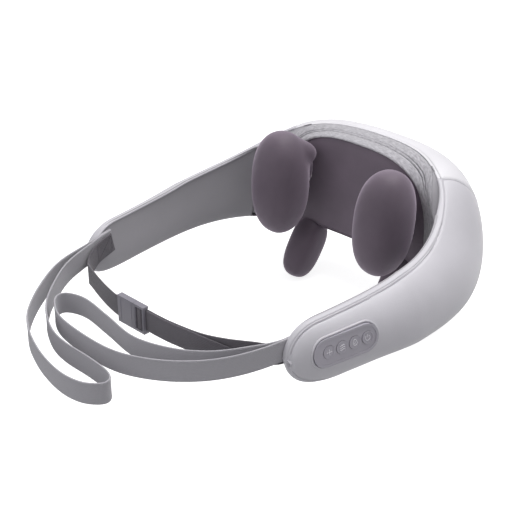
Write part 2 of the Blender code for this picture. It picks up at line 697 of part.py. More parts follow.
def worm_wheels():
    pitch_radius = WHEEL_TEETH * GEAR_MODULE / 2
    for name, side in SIDES:
        shape = bmesh.new()
        outline = []
        for tooth in range(WHEEL_TEETH):
            for share, radius in ((-0.30, pitch_radius - 0.0011), (-0.15, pitch_radius - 0.0001),
                                  (0.15, pitch_radius - 0.0001), (0.30, pitch_radius - 0.0011)):
                angle = (tooth + 0.5 + share) / WHEEL_TEETH * 2 * math.pi
                outline.append((-WHEEL_WIDTH / 2, radius * math.sin(angle), radius * math.cos(angle)))
        face = shape.faces.new([shape.verts.new(point) for point in outline])
        lifted = bmesh.ops.extrude_face_region(shape, geom=[face])
        bmesh.ops.translate(shape, vec=(WHEEL_WIDTH, 0, 0),
                            verts=[item for item in lifted["geom"] if isinstance(item, bmesh.types.BMVert)])
        bmesh.ops.recalc_face_normals(shape, faces=shape.faces)
        place = Matrix.Translation((side * UNIT_X, *WHEEL_AXIS))
        wheel = add_object("worm_wheel_" + name, finished_mesh("worm_wheel_" + name, shape), "brass", place)
        shaft = across_unit("wheel_shaft_" + name, side, WHEEL_AXIS, SHAFT_RADIUS, -0.0195, 0.0195, sides=16)
        boolean(wheel, shaft, "UNION")
        for index, plane in enumerate((-ARM_PLANE, ARM_PLANE)):
            centre = (WHEEL_AXIS[0], WHEEL_AXIS[1] + (CAM_OFFSET if index else -CAM_OFFSET))
            cam = across_unit("cam_%s_%d" % (name, index), side, centre, CAM_RADIUS,
                              plane - ARM_PLATE / 2 + 0.0003, plane + ARM_PLATE / 2 - 0.0003)
            boolean(wheel, cam, "UNION")


def wheel_bushes():
    """The outer end of each wheel shaft turns in a brass bush, the inner end in the case."""
    for name, side in SIDES:
        bush = across_unit("wheel_bush_" + name, side, WHEEL_AXIS, BUSH_RADIUS, 0.0170, 0.0200, "brass", sides=16)
        boolean(bush, across_unit("bush_bore_" + name, side, WHEEL_AXIS, SHAFT_RADIUS + RUNNING_GAP, 0.01, 0.03,
                                  sides=16))


def pivot_pins():
    """The pins that the palm arm and the thumb arm rock on, held in both case halves."""
    for name, side in SIDES:
        for arm, pivot in (("palm", PALM_PIVOT), ("thumb", THUMB_PIVOT)):
            across_unit("%s_pin_%s" % (arm, name), side, pivot, PIN_RADIUS, -0.0200, 0.0200, "steel", sides=16)


def rocking_arm(name, side, pivot, plane, ring_radius, finish):
    """The part of an arm inside the case: a hub on its pin and a ring round the cam."""
    low, high = plane - ARM_PLATE / 2, plane + ARM_PLATE / 2
    arm = across_unit(name, side, pivot, 0.0052, low, high, finish)
    ring = across_unit(name + "_ring", side, WHEEL_AXIS, ring_radius + 0.0022, low, high, sides=16)
    boolean(arm, ring, "UNION")
    link = rod(name + "_link", unit_point(side, plane, *pivot),
               unit_point(side, plane, *WHEEL_AXIS), ARM_PLATE / 2 - 0.0001)
    boolean(arm, link, "UNION")
    boolean(arm, across_unit(name + "_ring_bore", side, WHEEL_AXIS, ring_radius, -0.03, 0.03, sides=16))
    return arm


def palm_arms():
    for name, side in SIDES:
        arm = rocking_arm("palm_arm_" + name, side, PALM_PIVOT, -ARM_PLANE, 0.0112, "frame_white")
        x, z = side * PALM_CENTRE[0], PALM_PIVOT[1]
        neck_x = side * (UNIT_X - ARM_PLANE)
        neck = rod("palm_neck_" + name, (neck_x, PALM_PIVOT[0], z), (x, 0.040, z), 0.0040, end_radius=0.0060)
        boolean(arm, neck, "UNION")
        paddle = box("palm_paddle_" + name, (x - 0.014, 0.030, z - 0.026), (x + 0.014, 0.034, z + 0.026))
        boss = rod("palm_boss_" + name, (x, 0.0335, z), (x, 0.046, z), 0.0090)
        boolean(boolean(arm, paddle, "UNION"), boss, "UNION")
        boolean(arm, across_unit("palm_bore_" + name, side, PALM_PIVOT, PIN_RADIUS + RUNNING_GAP, -0.03, 0.03,
                                 sides=16))
        box("heater_film_" + name, (x - 0.013, 0.0290, z - 0.025), (x + 0.013, 0.0296, z + 0.025), "film_amber")


def superellipsoid(name, centre, half_size, roundness, finish, cuts=5):
    shape = bmesh.new()
    bmesh.ops.create_cube(shape, size=2.0)
    bmesh.ops.subdivide_edges(shape, edges=shape.edges, cuts=cuts, use_grid_fill=True)
    for vertex in shape.verts:
        length = sum(abs(value) ** roundness for value in vertex.co) ** (1 / roundness)
        vertex.co = Vector(value / length * half for value, half in zip(vertex.co, half_size))
    return add_object(name, finished_mesh(name, shape), finish, Matrix.Translation(centre))


def palm_lobes():
    """Foam palms in their stretch cover, with a pocket for the paddle and the heater."""
    for name, side in SIDES:
        x, y, z = side * PALM_CENTRE[0], PALM_CENTRE[1], PALM_CENTRE[2]
        lobe = superellipsoid("palm_lobe_" + name, (x, y, z), PALM_HALF_SIZE, PALM_ROUNDNESS, "stretch_mauve")
        middle = PALM_PIVOT[1]
        pocket = box("palm_pocket_" + name, (x - 0.0144, 0.0286, middle - 0.0264),
                     (x + 0.0144, 0.0344, middle + 0.0264))
        mouth = rod("palm_mouth_" + name, (x, 0.0330, middle), (x, 0.0800, middle), 0.0125)
        boolean(boolean(lobe, pocket), mouth)


def thumb_arms_and_lobes():
    for name, side in SIDES:
        arm = rocking_arm("thumb_arm_" + name, side, THUMB_PIVOT, ARM_PLANE, 0.0106, "frame_white")
        start = Vector(unit_point(side, ARM_PLANE, *THUMB_PIVOT))
        root = Vector((side * THUMB_ROOT[0], *THUMB_ROOT[1:]))
        tip = Vector((side * THUMB_TIP[0], *THUMB_TIP[1:]))
        along = (tip - root).normalized()
        core_start, core_end = root + along * 0.002, tip - along * 0.004
        boolean(arm, rod("thumb_neck_" + name, start, core_start, 0.0042), "UNION")
        boolean(arm, rod("thumb_core_" + name, core_start - along * 0.002, core_end, 0.0052), "UNION")
        boolean(arm, across_unit("thumb_bore_" + name, side, THUMB_PIVOT, PIN_RADIUS + RUNNING_GAP, -0.03, 0.03,
                                 sides=16))
        length = (tip - root).length
        half_length = length / 2 + THUMB_RADIUS * 0.55
        lobe = superellipsoid("thumb_lobe_" + name, (0, 0, 0), (THUMB_RADIUS, THUMB_RADIUS, half_length), 3.0,
                              "stretch_mauve", cuts=4)
        for vertex in lobe.data.vertices:
            narrow = 1 - THUMB_TAPER * vertex.co.z / half_length
            vertex.co.x *= narrow
            vertex.co.y *= narrow
        turn = along.to_track_quat("Z", "X").to_matrix().to_4x4()
        lobe.matrix_world = Matrix.Translation((root + tip) / 2 + along * 0.006) @ turn
        boolean(lobe, rod("thumb_pocket_" + name, root - along * 0.030, core_end + along * 0.0005, 0.0057))
        boolean(lobe, rod("thumb_mouth_" + name, root - along * 0.030, root + along * 0.006, 0.0085))


# ------------------------------------------------------------------ battery, boards and port
def electrics():
    pack = rod("battery_pack", (-0.033, 0.083, -0.020), (0.033, 0.083, -0.020), 0.0092, "cell_wrap")
    second = rod("second_cell", (-0.033, 0.1022, -0.020), (0.033, 0.1022, -0.020), 0.0092)
    bridge = box("cell_bridge", (-0.0325, 0.083, -0.0285), (0.0325, 0.1022, -0.0240))
    boolean(boolean(pack, second, "UNION"), bridge, "UNION")
    board = box("main_board", (-0.032, 0.0700, 0.002), (0.032, 0.0716, 0.040), "board_green")
    chip = box("main_chip", (-0.008, 0.0714, 0.014), (0.008, 0.0730, 0.030))
    boolean(board, chip, "UNION")
    port = box("charging_port", (-0.009, 0.076, -0.0435), (0.009, 0.088, -0.0310), "buckle_dark")
    socket = box("port_socket", (-0.0046, 0.0803, -0.050), (0.0046, 0.0837, -0.034))
    boolean(port, socket)


# ------------------------------------------------------------------ control pod
def pod_frame():
    """Local axes of the pod: X along the arm to the back, Y up, Z out of the arm."""
    here = skin(POD_AT, POD_HEIGHT_SHARE)
    backwards = Vector(skin(POD_AT - 0.2, POD_HEIGHT_SHARE) - skin(POD_AT + 0.2, POD_HEIGHT_SHARE))
    upwards = Vector(skin(POD_AT, POD_HEIGHT_SHARE - 0.12) - skin(POD_AT, POD_HEIGHT_SHARE + 0.12))
    outwards = backwards.cross(upwards).normalized()
    level = Vector((backwards.x, backwards.y, 0)).normalized()
    level = (level - outwards * level.dot(outwards)).normalized()
    raised = outwards.cross(level).normalized()
    frame = Matrix((level, raised, outwards)).transposed().to_4x4()
    frame.translation = Vector(here)
    return frame @ Matrix.Rotation(math.radians(-POD_SLOPE), 4, "Z")


def control_pod():
    place = pod_place
    face_z = 0.0007
    housing = capsule_plate("control_pod", POD_LENGTH, POD_WIDTH, -POD_DEPTH, face_z, "pod_grey", place)
    recess = capsule_plate("pod_recess", POD_LENGTH - 0.004, POD_WIDTH - 0.004, face_z - 0.0006, 0.01, None, place)
    hollow = capsule_plate("pod_hollow", POD_LENGTH - 0.005, POD_WIDTH - 0.005, -0.02, -0.0012, None, place)
    boolean(boolean(housing, recess), hollow)
    box("button_board", (-0.0245, -0.0070, -0.0042), (0.0255, 0.0070, -0.0032), "board_green", place)
    for index, name in enumerate(BUTTON_NAMES):
        x = (index - 1.5) * BUTTON_PITCH + BUTTON_SHIFT
        local = place @ Matrix.Translation((x, 0, 0))
        well = rod("button_well_" + name, (0, 0, -0.02), (0, 0, 0.01), BUTTON_RADIUS + 0.0003, None, local)
        boolean(housing, well)
        cap = rod("button_" + name, (0, 0, -0.0018), (0, 0, face_z), BUTTON_RADIUS, "pod_grey", local, sides=16)
        boolean(cap, rod("button_dish_" + name, (0, 0, face_z - 0.0002), (0, 0, 0.01), BUTTON_RADIUS - 0.0012,
                         None, local, sides=16))


# ------------------------------------------------------------------ straps and buckle
def ribbon(name, path, heights, finish, thickness=WEBBING, width=WEBBING_WIDTH):
    """Webbing that stands on edge along a level path."""
    rows = [[(x, y, z + width / 2), (x, y, z - width / 2)] for (x, y), z in zip(path, heights)]
    return sheet(name, rows, thickness, (0.0, 0.0, 0.0), finish, centred=True)


def loop_heights(path, start_z, side_z, far_z):
    """A loop drops from its sewn ends to its far end."""
    count = len(path) - 1
    heights = []
    for index in range(len(path)):
        share = 1 - abs(2 * index / count - 1)
        drop = min(share / 0.35, 1.0)
        ease = drop * drop * (3 - 2 * drop)
        heights.append(start_z + (side_z - start_z) * ease + (far_z - side_z) * max(0.0, share - 0.35) / 0.65)
    return heights


def hand_loops():
    for name, points, heights in (("left", LEFT_LOOP, LEFT_LOOP_Z), ("right", RIGHT_LOOP, RIGHT_LOOP_Z)):
        path = smooth_path(points, 3)
        ribbon("hand_loop_" + name, path, loop_heights(path, *heights), "webbing_grey")


def elastic_straps():
    """The left strap winds round the clip's middle bar and doubles back; the right one is fixed."""
    half_turn = spread(90, 180, 4)
    winding = [(0.0185, 0.0021)]
    winding += round_corner((0.0093, 0.0008), 0.0013, half_turn)
    winding += round_corner((0.0093, -0.0008), 0.0013, [angle + 90 for angle in half_turn])
    winding += round_corner((0.01195, -0.0008), 0.0013, [angle + 180 for angle in half_turn])
    winding += round_corner((0.01425, -0.0007), 0.0010, half_turn[::-1])
    winding.append((0.0185, 0.0003))
    threaded = [np.array([BUCKLE[0] + x, BUCKLE[1] + y]) for x, y in winding]
    main = smooth_path(LEFT_ELASTIC + [tuple(threaded[0])], 4)
    tail = []
    for before, here in zip(main, main[1:-1]):
        if here[0] < TAIL_END_X:
            square = np.array([here[1] - before[1], before[0] - here[0]]) / np.linalg.norm(here - before)
            tail.append(here + square * math.copysign(LAYER_SPACING, -square[1]))
    heights = [BUCKLE[2]] * (len(main) + len(threaded) - 1)
    for index in range(len(tail)):
        share = (index + 1) / len(tail)
        heights.append(BUCKLE[2] - TAIL_DROOP * max(0.0, (share - 0.6) / 0.4) ** 1.6)
    ribbon("elastic_strap_left", main[:-1] + threaded + tail[::-1], heights, "elastic_dark", thickness=ELASTIC)
    points = [(x, y, z) for (x, y), z in zip(RIGHT_ELASTIC, RIGHT_ELASTIC_Z)]
    path = smooth_path(points, 4)
    ribbon("elastic_strap_right", [point[:2] for point in path], [point[2] for point in path], "elastic_dark",
           thickness=ELASTIC)


def round_corner(centre, radius, angles):
    """Points of an arc, at angles in degrees."""
    return [(centre[0] + radius * math.cos(math.radians(angle)), centre[1] + radius * math.sin(math.radians(angle)))
            for angle in angles]


def buckle():
    """A flat socket on the right strap, and a clip with two bars on the left strap."""
    place = Matrix.Translation(BUCKLE)
    half_length, half_depth, half_height = (size / 2 for size in BUCKLE_SIZE)
    split = 0.0035
    socket = box("buckle_socket", (-half_length, -half_depth, -half_height), (split, half_depth, half_height),
                 "buckle_dark", place)
    boolean(socket, box("socket_mouth", (-half_length + 0.004, -0.0017, -0.0092), (0.02, 0.0017, 0.0092), None, place))
    boolean(socket, box("socket_slot", (-0.03, -0.0009, -0.0104), (-half_length + 0.003, 0.0009, 0.0104), None, place))
    clip = box("buckle_clip", (split + 0.0003, -half_depth, -half_height), (half_length, half_depth, half_height),
               "buckle_dark", place)
    tongue = box("clip_tongue", (-half_length + 0.0045, -0.0014, -0.0088), (split + 0.002, 0.0014, 0.0088), None, place)
    boolean(clip, tongue, "UNION")
    boolean(clip, box("clip_window", (0.0065, -0.02, -0.0106), (0.0150, 0.02, 0.0106), None, place))
    boolean(clip, box("clip_bar", (0.0095, -0.0012, -0.0115), (0.0115, 0.0012, 0.0115), None, place), "UNION")
    boolean(clip, box("clip_exit", (0.0140, -0.00055, -0.0106), (0.03, 0.02, 0.0106), None, place))


pod_place = pod_frame()
pod_cutter = capsule_plate("pod_opening", POD_LENGTH + 0.0008, POD_WIDTH + 0.0008, -POD_DEPTH - 0.0008, 0.02,
                           None, pod_place)
outer_covers()
rear_frame()
arm_linings()
edge_piping()
arm_fillings()
knit_bands()
dark_covers()
zip_slider()
gear_cases()
motors_and_worms()
worm_wheels()
wheel_bushes()
pivot_pins()
palm_arms()
palm_lobes()
thumb_arms_and_lobes()
electrics()
control_pod()
hand_loops()
elastic_straps()
buckle()
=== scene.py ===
"""Looks of a cordless neck and shoulder massager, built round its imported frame.

Metres, +Z up, in the row frame of the part: the origin is the middle of the wearer's neck,
the wearer looks along -Y, and +X is the wearer's left, with the buttons.
"""
import json
import math

import bmesh
import bpy
import numpy as np
from mathutils import Matrix, Vector


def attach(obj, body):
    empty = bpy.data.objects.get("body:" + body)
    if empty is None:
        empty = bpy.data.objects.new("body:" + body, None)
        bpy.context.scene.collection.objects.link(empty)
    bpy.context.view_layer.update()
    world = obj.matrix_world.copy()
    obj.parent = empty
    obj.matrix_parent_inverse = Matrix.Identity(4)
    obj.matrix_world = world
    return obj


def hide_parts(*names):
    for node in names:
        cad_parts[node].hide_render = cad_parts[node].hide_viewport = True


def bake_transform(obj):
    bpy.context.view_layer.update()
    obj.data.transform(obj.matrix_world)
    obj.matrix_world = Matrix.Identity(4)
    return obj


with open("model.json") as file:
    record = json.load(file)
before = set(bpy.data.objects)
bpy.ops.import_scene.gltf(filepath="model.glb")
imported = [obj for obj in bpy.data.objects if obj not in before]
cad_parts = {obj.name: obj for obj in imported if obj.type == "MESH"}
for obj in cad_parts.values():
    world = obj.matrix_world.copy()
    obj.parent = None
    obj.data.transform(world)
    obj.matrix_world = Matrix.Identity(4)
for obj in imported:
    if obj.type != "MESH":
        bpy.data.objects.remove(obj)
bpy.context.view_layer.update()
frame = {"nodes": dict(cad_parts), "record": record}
nodes = frame["nodes"]
SIDES = (("left", 1), ("right", -1))


# --- materials
def inputs_of(material):
    return material.node_tree.nodes["Principled BSDF"].inputs


def new_material(name, colour, roughness, metallic=0.0, sheen=0.0, coat=0.0):
    made = bpy.data.materials.new(name)
    made.use_nodes = True
    for key, value in (("Base Color", (*colour, 1.0)), ("Roughness", roughness), ("Metallic", metallic),
                       ("Sheen Weight", sheen), ("Sheen Roughness", 0.5), ("Coat Weight", coat)):
        inputs_of(made)[key].default_value = value
    return made, made.node_tree


def add(tree, kind, settings=None, **values):
    """A node with its settings, and with numbers or sockets put into its inputs."""
    node = tree.nodes.new("ShaderNode" + kind)
    for key, value in (settings or {}).items():
        setattr(node, key, value)
    for key, value in values.items():
        key = key.replace("_", " ")
        socket = node.inputs[int(key[1:])] if key[0] == "i" and key[1:].isdigit() else node.inputs[key]
        if isinstance(value, bpy.types.NodeSocket):
            tree.links.new(value, socket)
        else:
            socket.default_value = value
    return node


def sums(tree, operation, a, b=0.0, c=0.0):
    return add(tree, "Math", {"operation": operation}, i0=a, i1=b, i2=c).outputs[0]


def place(tree, space="Object", scale=(1.0, 1.0, 1.0)):
    coords = add(tree, "TexCoord").outputs[space]
    return add(tree, "Mapping", Vector=coords, Scale=scale).outputs[0]


def noise(tree, scale, detail=3.0, space="Object", stretch=(1.0, 1.0, 1.0)):
    return add(tree, "TexNoise", Vector=place(tree, space, stretch), Scale=scale, Detail=detail).outputs[0]


def ramp(tree, fac, low, high, low_value=(0, 0, 0), high_value=(1, 1, 1)):
    made = add(tree, "ValToRGB", Fac=fac)
    for stop, at, value in zip(made.color_ramp.elements, (low, high), (low_value, high_value)):
        stop.position = at
        stop.color = (*value, 1.0)
    return made.outputs[0]


def shade(colour, factor):
    return tuple(min(1.0, value * factor) for value in colour)


def tint(material, fac, low, high, dark, light):
    """Base colour that runs from dark to light as fac runs from low to high."""
    tree = material.node_tree
    tree.links.new(ramp(tree, fac, low, high, dark, light), inputs_of(material)["Base Color"])


def rough(material, fac, low, high):
    tree = material.node_tree
    value = add(tree, "MapRange", Value=fac, To_Min=low, To_Max=high).outputs[0]
    tree.links.new(value, inputs_of(material)["Roughness"])


def bumps(material, *layers):
    """Stacks (height, strength, distance) bump layers on a material."""
    tree = material.node_tree
    last = None
    for height, strength, distance in layers:
        made = add(tree, "Bump", Height=height, Strength=strength, Distance=distance)
        if last:
            tree.links.new(last, made.inputs["Normal"])
        last = made.outputs[0]
    tree.links.new(last, inputs_of(material)["Normal"])


def chevrons(tree, along, across, lean):
    """Rows of V shapes: along and across are the pitches in metres, on the UV map."""
    parts = add(tree, "SeparateXYZ", Vector=add(tree, "TexCoord").outputs["UV"])
    row = sums(tree, "DIVIDE", parts.outputs[0], along)
    column = sums(tree, "DIVIDE", parts.outputs[1], across)
    slope = sums(tree, "MULTIPLY", sums(tree, "PINGPONG", column, 0.5), lean)
    wave = sums(tree, "SINE", sums(tree, "MULTIPLY", sums(tree, "ADD", row, slope), 2 * math.pi))
    ridge = sums(tree, "SINE", sums(tree, "MULTIPLY", column, 2 * math.pi))
    return sums(tree, "MULTIPLY_ADD", wave, 0.35, sums(tree, "MULTIPLY_ADD", ridge, 0.15, 0.5))


def leather(name, colour, roughness=0.46):
    made, tree = new_material(name, colour, roughness, sheen=0.12, coat=0.04)
    pores = add(tree, "TexVoronoi", {"feature": "SMOOTH_F1"}, Vector=place(tree), Scale=1050.0).outputs["Distance"]
    creases = noise(tree, 260.0, 6.0)
    tint(made, noise(tree, 22.0, 4.0), 0.3, 0.7, shade(colour, 0.955), shade(colour, 1.03))
    rough(made, noise(tree, 90.0, 4.0), roughness - 0.06, roughness + 0.08)
    bumps(made, (creases, 0.10, 0.0005), (pores, 0.22, 0.00022))
    return made


def knitted(name, dark, light, along=0.0011, across=0.0013, lean=1.3):
    made, tree = new_material(name, light, 0.9, sheen=0.35)
    loops = chevrons(tree, along, across, lean)
    flecks = noise(tree, 620.0, 5.0, "UV", (0.35, 1.0, 1.0))
    clouds = noise(tree, 2200.0, 2.0, "UV")
    mixed = sums(tree, "MULTIPLY_ADD", flecks, 0.75, sums(tree, "MULTIPLY", clouds, 0.25))
    tint(made, sums(tree, "MULTIPLY_ADD", loops, 0.10, sums(tree, "MULTIPLY", mixed, 0.92)), 0.36, 0.62, dark, light)
    bumps(made, (loops, 0.55, 0.0004), (clouds, 0.3, 0.0002))
    return made


def stretch(name, colour):
    made, tree = new_material(name, colour, 0.62, sheen=0.9)
    inputs_of(made)["Sheen Tint"].default_value = (0.72, 0.62, 0.74, 1.0)
    knit_rows = add(tree, "TexVoronoi", Vector=place(tree, "Object", (1.0, 1.0, 0.6)), Scale=2100.0).outputs["Distance"]
    soft = noise(tree, 30.0, 4.0)
    tint(made, soft, 0.25, 0.75, shade(colour, 0.86), shade(colour, 1.12))
    rough(made, noise(tree, 140.0, 3.0), 0.55, 0.70)
    bumps(made, (soft, 0.10, 0.003), (knit_rows, 0.30, 0.00016))
    return made


def woven(name, colour, along, across, lean, contrast):
    made, tree = new_material(name, colour, 0.8, sheen=0.25)
    ribs = chevrons(tree, along, across, lean)
    fibres = noise(tree, 1500.0, 4.0, "UV", (0.3, 1.0, 1.0))
    mixed = sums(tree, "MULTIPLY_ADD", ribs, 0.6, sums(tree, "MULTIPLY", fibres, 0.4))
    tint(made, mixed, 0.25, 0.75, shade(colour, 1 - contrast), shade(colour, 1 + contrast))
    bumps(made, (ribs, 0.6, 0.00035), (fibres, 0.35, 0.0002))
    return made


def moulded(name, colour, roughness, coat=0.0):
    made, tree = new_material(name, colour, roughness, coat=coat)
    spark = noise(tree, 900.0, 3.0)
    tint(made, noise(tree, 45.0, 3.0), 0.3, 0.7, shade(colour, 0.94), shade(colour, 1.04))
    rough(made, spark, roughness - 0.06, roughness + 0.08)
    bumps(made, (spark, 0.12, 0.0001))
    return made


def brushed(name, colour, roughness):
    made, tree = new_material(name, colour, roughness, 1.0)
    lines = noise(tree, 260.0, 4.0, "Object", (1.0, 14.0, 14.0))
    tint(made, lines, 0.3, 0.7, shade(colour, 0.82), shade(colour, 1.08))
    rough(made, lines, roughness - 0.08, roughness + 0.12)
    bumps(made, (lines, 0.15, 0.0001))
    return made


LOOKS = {name: kind(name, *values) for name, kind, *values in (
    ("leather_light", leather, (0.69, 0.68, 0.71)),
    ("leather_grey", leather, (0.555, 0.543, 0.58)),
    ("lining_grey", leather, (0.365, 0.355, 0.38), 0.58),
    ("knit_grey", knitted, (0.26, 0.25, 0.275), (0.50, 0.49, 0.52)),
    ("stretch_mauve", stretch, (0.095, 0.070, 0.095)),
    ("webbing_grey", woven, (0.43, 0.42, 0.45), 0.0009, 0.0014, 0.7, 0.10),
    ("elastic_dark", woven, (0.125, 0.115, 0.132), 0.0009, 0.0016, 0.0, 0.3),
    ("buckle_dark", moulded, (0.235, 0.225, 0.26), 0.42),
    ("pod_grey", moulded, (0.38, 0.362, 0.41), 0.40, 0.05),
    ("frame_white", moulded, (0.72, 0.72, 0.70), 0.45),
    ("foam", knitted, (0.42, 0.41, 0.37), (0.62, 0.60, 0.55), 0.002, 0.002, 0.0),
    ("steel", brushed, (0.58, 0.58, 0.60), 0.30),
    ("brass", brushed, (0.72, 0.54, 0.26), 0.32),
    ("board_green", moulded, (0.04, 0.20, 0.09), 0.38),
    ("cell_wrap", moulded, (0.08, 0.17, 0.42), 0.32),
    ("film_amber", moulded, (0.55, 0.30, 0.07), 0.30),
    ("stretch_panel", stretch, (0.150, 0.118, 0.150)),
    ("thread_light", woven, (0.62, 0.61, 0.64), 0.0006, 0.0008, 1.0, 0.15),
    ("thread_mid", woven, (0.42, 0.41, 0.44), 0.0006, 0.0008, 1.0, 0.15),
    ("thread_dark", woven, (0.12, 0.11, 0.13), 0.0006, 0.0008, 1.0, 0.2),
    ("icon_paint", moulded, (0.80, 0.79, 0.83), 0.4),
)}

for entry in frame["record"]["subparts"]:
    node = nodes[entry["node"]]
    node.data.materials.clear()
    node.data.materials.append(LOOKS[entry["material_slot"]])

# --- shape of the band
# Along the band, u is 0 at the middle of the back, 1 where an arm starts and 2 at its tip;
# negative u is the wearer's right.  Across it, v is 0 at the top edge and 1 at the bottom.
# Each line in plan is (half width, depth of the back, roundness, x at the tip).
TOP_EDGE = (0.1375, 0.143, 2.2, 0.1261)
BULGE_LINE = (0.162, 0.188, 2.55, 0.1365)
BOTTOM_EDGE = (0.1485, 0.135, 2.4, 0.1344)
ARMS_START_Y, ARM_TIP_Y = -0.045, -0.1725
BACK_TOP_Z, ARM_TOP_Z = 0.069, 0.0150
BACK_BOTTOM_Z, ARM_BOTTOM_Z = -0.0415, -0.0380
TIP_MIDDLE_Z = -0.0115
RIM_WIDTH, EDGE_GAP = 0.0052, 0.0030
SEAM_AT, LINING_FROM, KNIT_END, TIP_FROM = 0.433, 0.635, 0.62, 1.4
TOP_FALL_AT, TOP_FALL_POWER = 0.61, 4.2
TOP_ROUND_FROM, TOP_ROUND_POWER = 1.76, 2.2
SHOULDER_FLARE, SHOULDER_SWELL, SHOULDER_SAG, BULGE_DROP = 0.0016, 0.0035, 0.0045, 0.011
TOP_LEAN, OVAL, LINING_BOW = math.radians(32), 2.2, 0.0035


def ease(x):
    x = np.clip(x, 0.0, 1.0)
    return x * x * (3 - 2 * x)


def swell(u, start, rise, end, fall):
    """Rises from 0 to 1 over rise from start on, and falls back over fall from end on."""
    return float(ease((u - start) / rise) * (1 - ease((u - end) / fall)))


def plan_point(line, u):
    half_width, depth, roundness, tip_x = line
    if u <= 1:
        angle = u * math.pi / 2
        return (half_width * math.sin(angle) ** (2 / roundness),
                ARMS_START_Y + depth * max(math.cos(angle), 0.0) ** (2 / roundness))
    along = u - 1
    return (half_width - (half_width - tip_x) * along ** 1.5, ARMS_START_Y + (ARM_TIP_Y - ARMS_START_Y) * along)


def tip_shrink(u, start=1.55, power=2.8):
    reach = min(max(0.0, (u - start) / (2 - start)), 1.0)
    return (1 - reach ** power) ** (1 / power)


def flare(u):
    """How far the top edge stands out over the shoulders."""
    return SHOULDER_FLARE * swell(u, 0.34, 0.12, 0.52, 0.3)


def edges(u):
    """The top edge, the bulge line and the bottom edge of the skin at u."""
    shrink = tip_shrink(u)
    top_z = ARM_TOP_Z + (BACK_TOP_Z - ARM_TOP_Z) / (1 + (u / TOP_FALL_AT) ** TOP_FALL_POWER)
    bottom_z = ARM_BOTTOM_Z + (BACK_BOTTOM_Z - ARM_BOTTOM_Z) / (1 + (2 * u) ** 3)
    top_z = TIP_MIDDLE_Z + (top_z - TIP_MIDDLE_Z) * tip_shrink(u, TOP_ROUND_FROM, TOP_ROUND_POWER)
    bottom_z = TIP_MIDDLE_Z + (bottom_z - TIP_MIDDLE_Z) * shrink
    top = np.array([*plan_point(TOP_EDGE, u), top_z]) - inward(u) * flare(u)
    bottom = np.array([*plan_point(BOTTOM_EDGE, u), bottom_z])
    bottom[0] = top[0] + (bottom[0] - top[0]) * shrink
    chord = (top + bottom) / 2
    bulge = np.array([*plan_point(BULGE_LINE, u), chord[2]])
    bulge = chord + (bulge - chord) * (0.35 + 0.65 * shrink)
    bulge -= inward(u) * SHOULDER_SWELL * swell(u, 0.6, 0.3, 1.0, 0.4)
    bulge[2] -= BULGE_DROP * min(1.0, 2 - u) + SHOULDER_SAG * swell(u, 0.3, 0.3, 0.9, 0.5)
    return top, bulge, bottom


def inward(u):
    """Level direction from the skin towards the neck."""
    u = max(u, 0.02)
    before, after = (np.array(plan_point(BULGE_LINE, u + shift)) for shift in (-0.01, 0.01))
    along = after - before
    across = np.array([along[1], -along[0], 0.0])
    across /= np.linalg.norm(across)
    return across if across[0] < 0 or abs(across[0]) < 1e-9 else -across


def bowed(top, middle, bottom, v, lean=0.0):
    """A point on the two quarter ovals that join top, middle and bottom.

    lean is the angle at which the upper oval starts, so that it leaves the top edge sloping down."""
    end, share = (top, 2 * v) if v <= 0.5 else (bottom, 2 - 2 * v)
    first = lean if v <= 0.5 else 0.0
    angle = first + share * (math.pi / 2 - first)
    out, cut_out = (math.sin(a) ** (2 / OVAL) for a in (angle, first))
    along, cut_along = (1 - max(math.cos(a), 0.0) ** (2 / OVAL) for a in (angle, first))
    point = end + (middle - end) * (out - cut_out) / (1 - cut_out)
    point[2] = end[2] + (middle[2] - end[2]) * (along - cut_along) / (1 - cut_along)
    return point


def mirrored(point, side):
    return point * np.array([side, 1, 1])


def skin(u, v):
    """A point of the outer surface."""
    lean = TOP_LEAN * float(ease((abs(u) - 0.40) / 0.30))
    return mirrored(bowed(*edges(abs(u)), v, lean), -1 if u < 0 else 1)


def lining(u, v):
    """A point of the surface that faces the neck."""
    top, _, bottom = edges(abs(u))
    towards_neck = inward(abs(u))
    top, bottom = top + towards_neck * RIM_WIDTH, bottom + towards_neck * RIM_WIDTH
    middle = (top + bottom) / 2 + towards_neck * LINING_BOW * (0.3 + 0.7 * tip_shrink(abs(u)))
    return mirrored(bowed(top, middle, bottom, v), -1 if u < 0 else 1)


PANEL_HALF_WIDTH, PANEL_MIDDLE_Z, PANEL_RISE, PANEL_BOTTOM_Z, PANEL_INSET = 0.086, -0.010, 0.079, -0.034, 0.0024


def panel_edge(angle, inset=0.0):
    """x and z on the rounded top of the dark panel, with angle from 0 at its middle to a right angle at its side."""
    x = (PANEL_HALF_WIDTH - inset) * math.sin(angle) ** (2 / 3)
    return x, PANEL_MIDDLE_Z + (PANEL_RISE - inset) * max(math.cos(angle), 0.0) ** (2 / 3)


def panel_y(x):
    return 0.062 - 0.8 * x * x


def leather_inside(u, gap=EDGE_GAP):
    return edges(u)[0] + inward(u) * gap


def knit_outline(u):
    """The outer edge of the knit band, which leaves the leather and drops to the arm's lining."""
    drop = float(ease((u - 0.34) / 0.28))
    start, end = (leather_inside(at, EDGE_GAP + flare(at)) for at in (u, KNIT_END))
    aside = 0.0045 * swell(u, 0.36, 0.12, 0.54, 0.08)
    return start + drop * (lining(KNIT_END, 0.3) - end) + inward(u) * aside


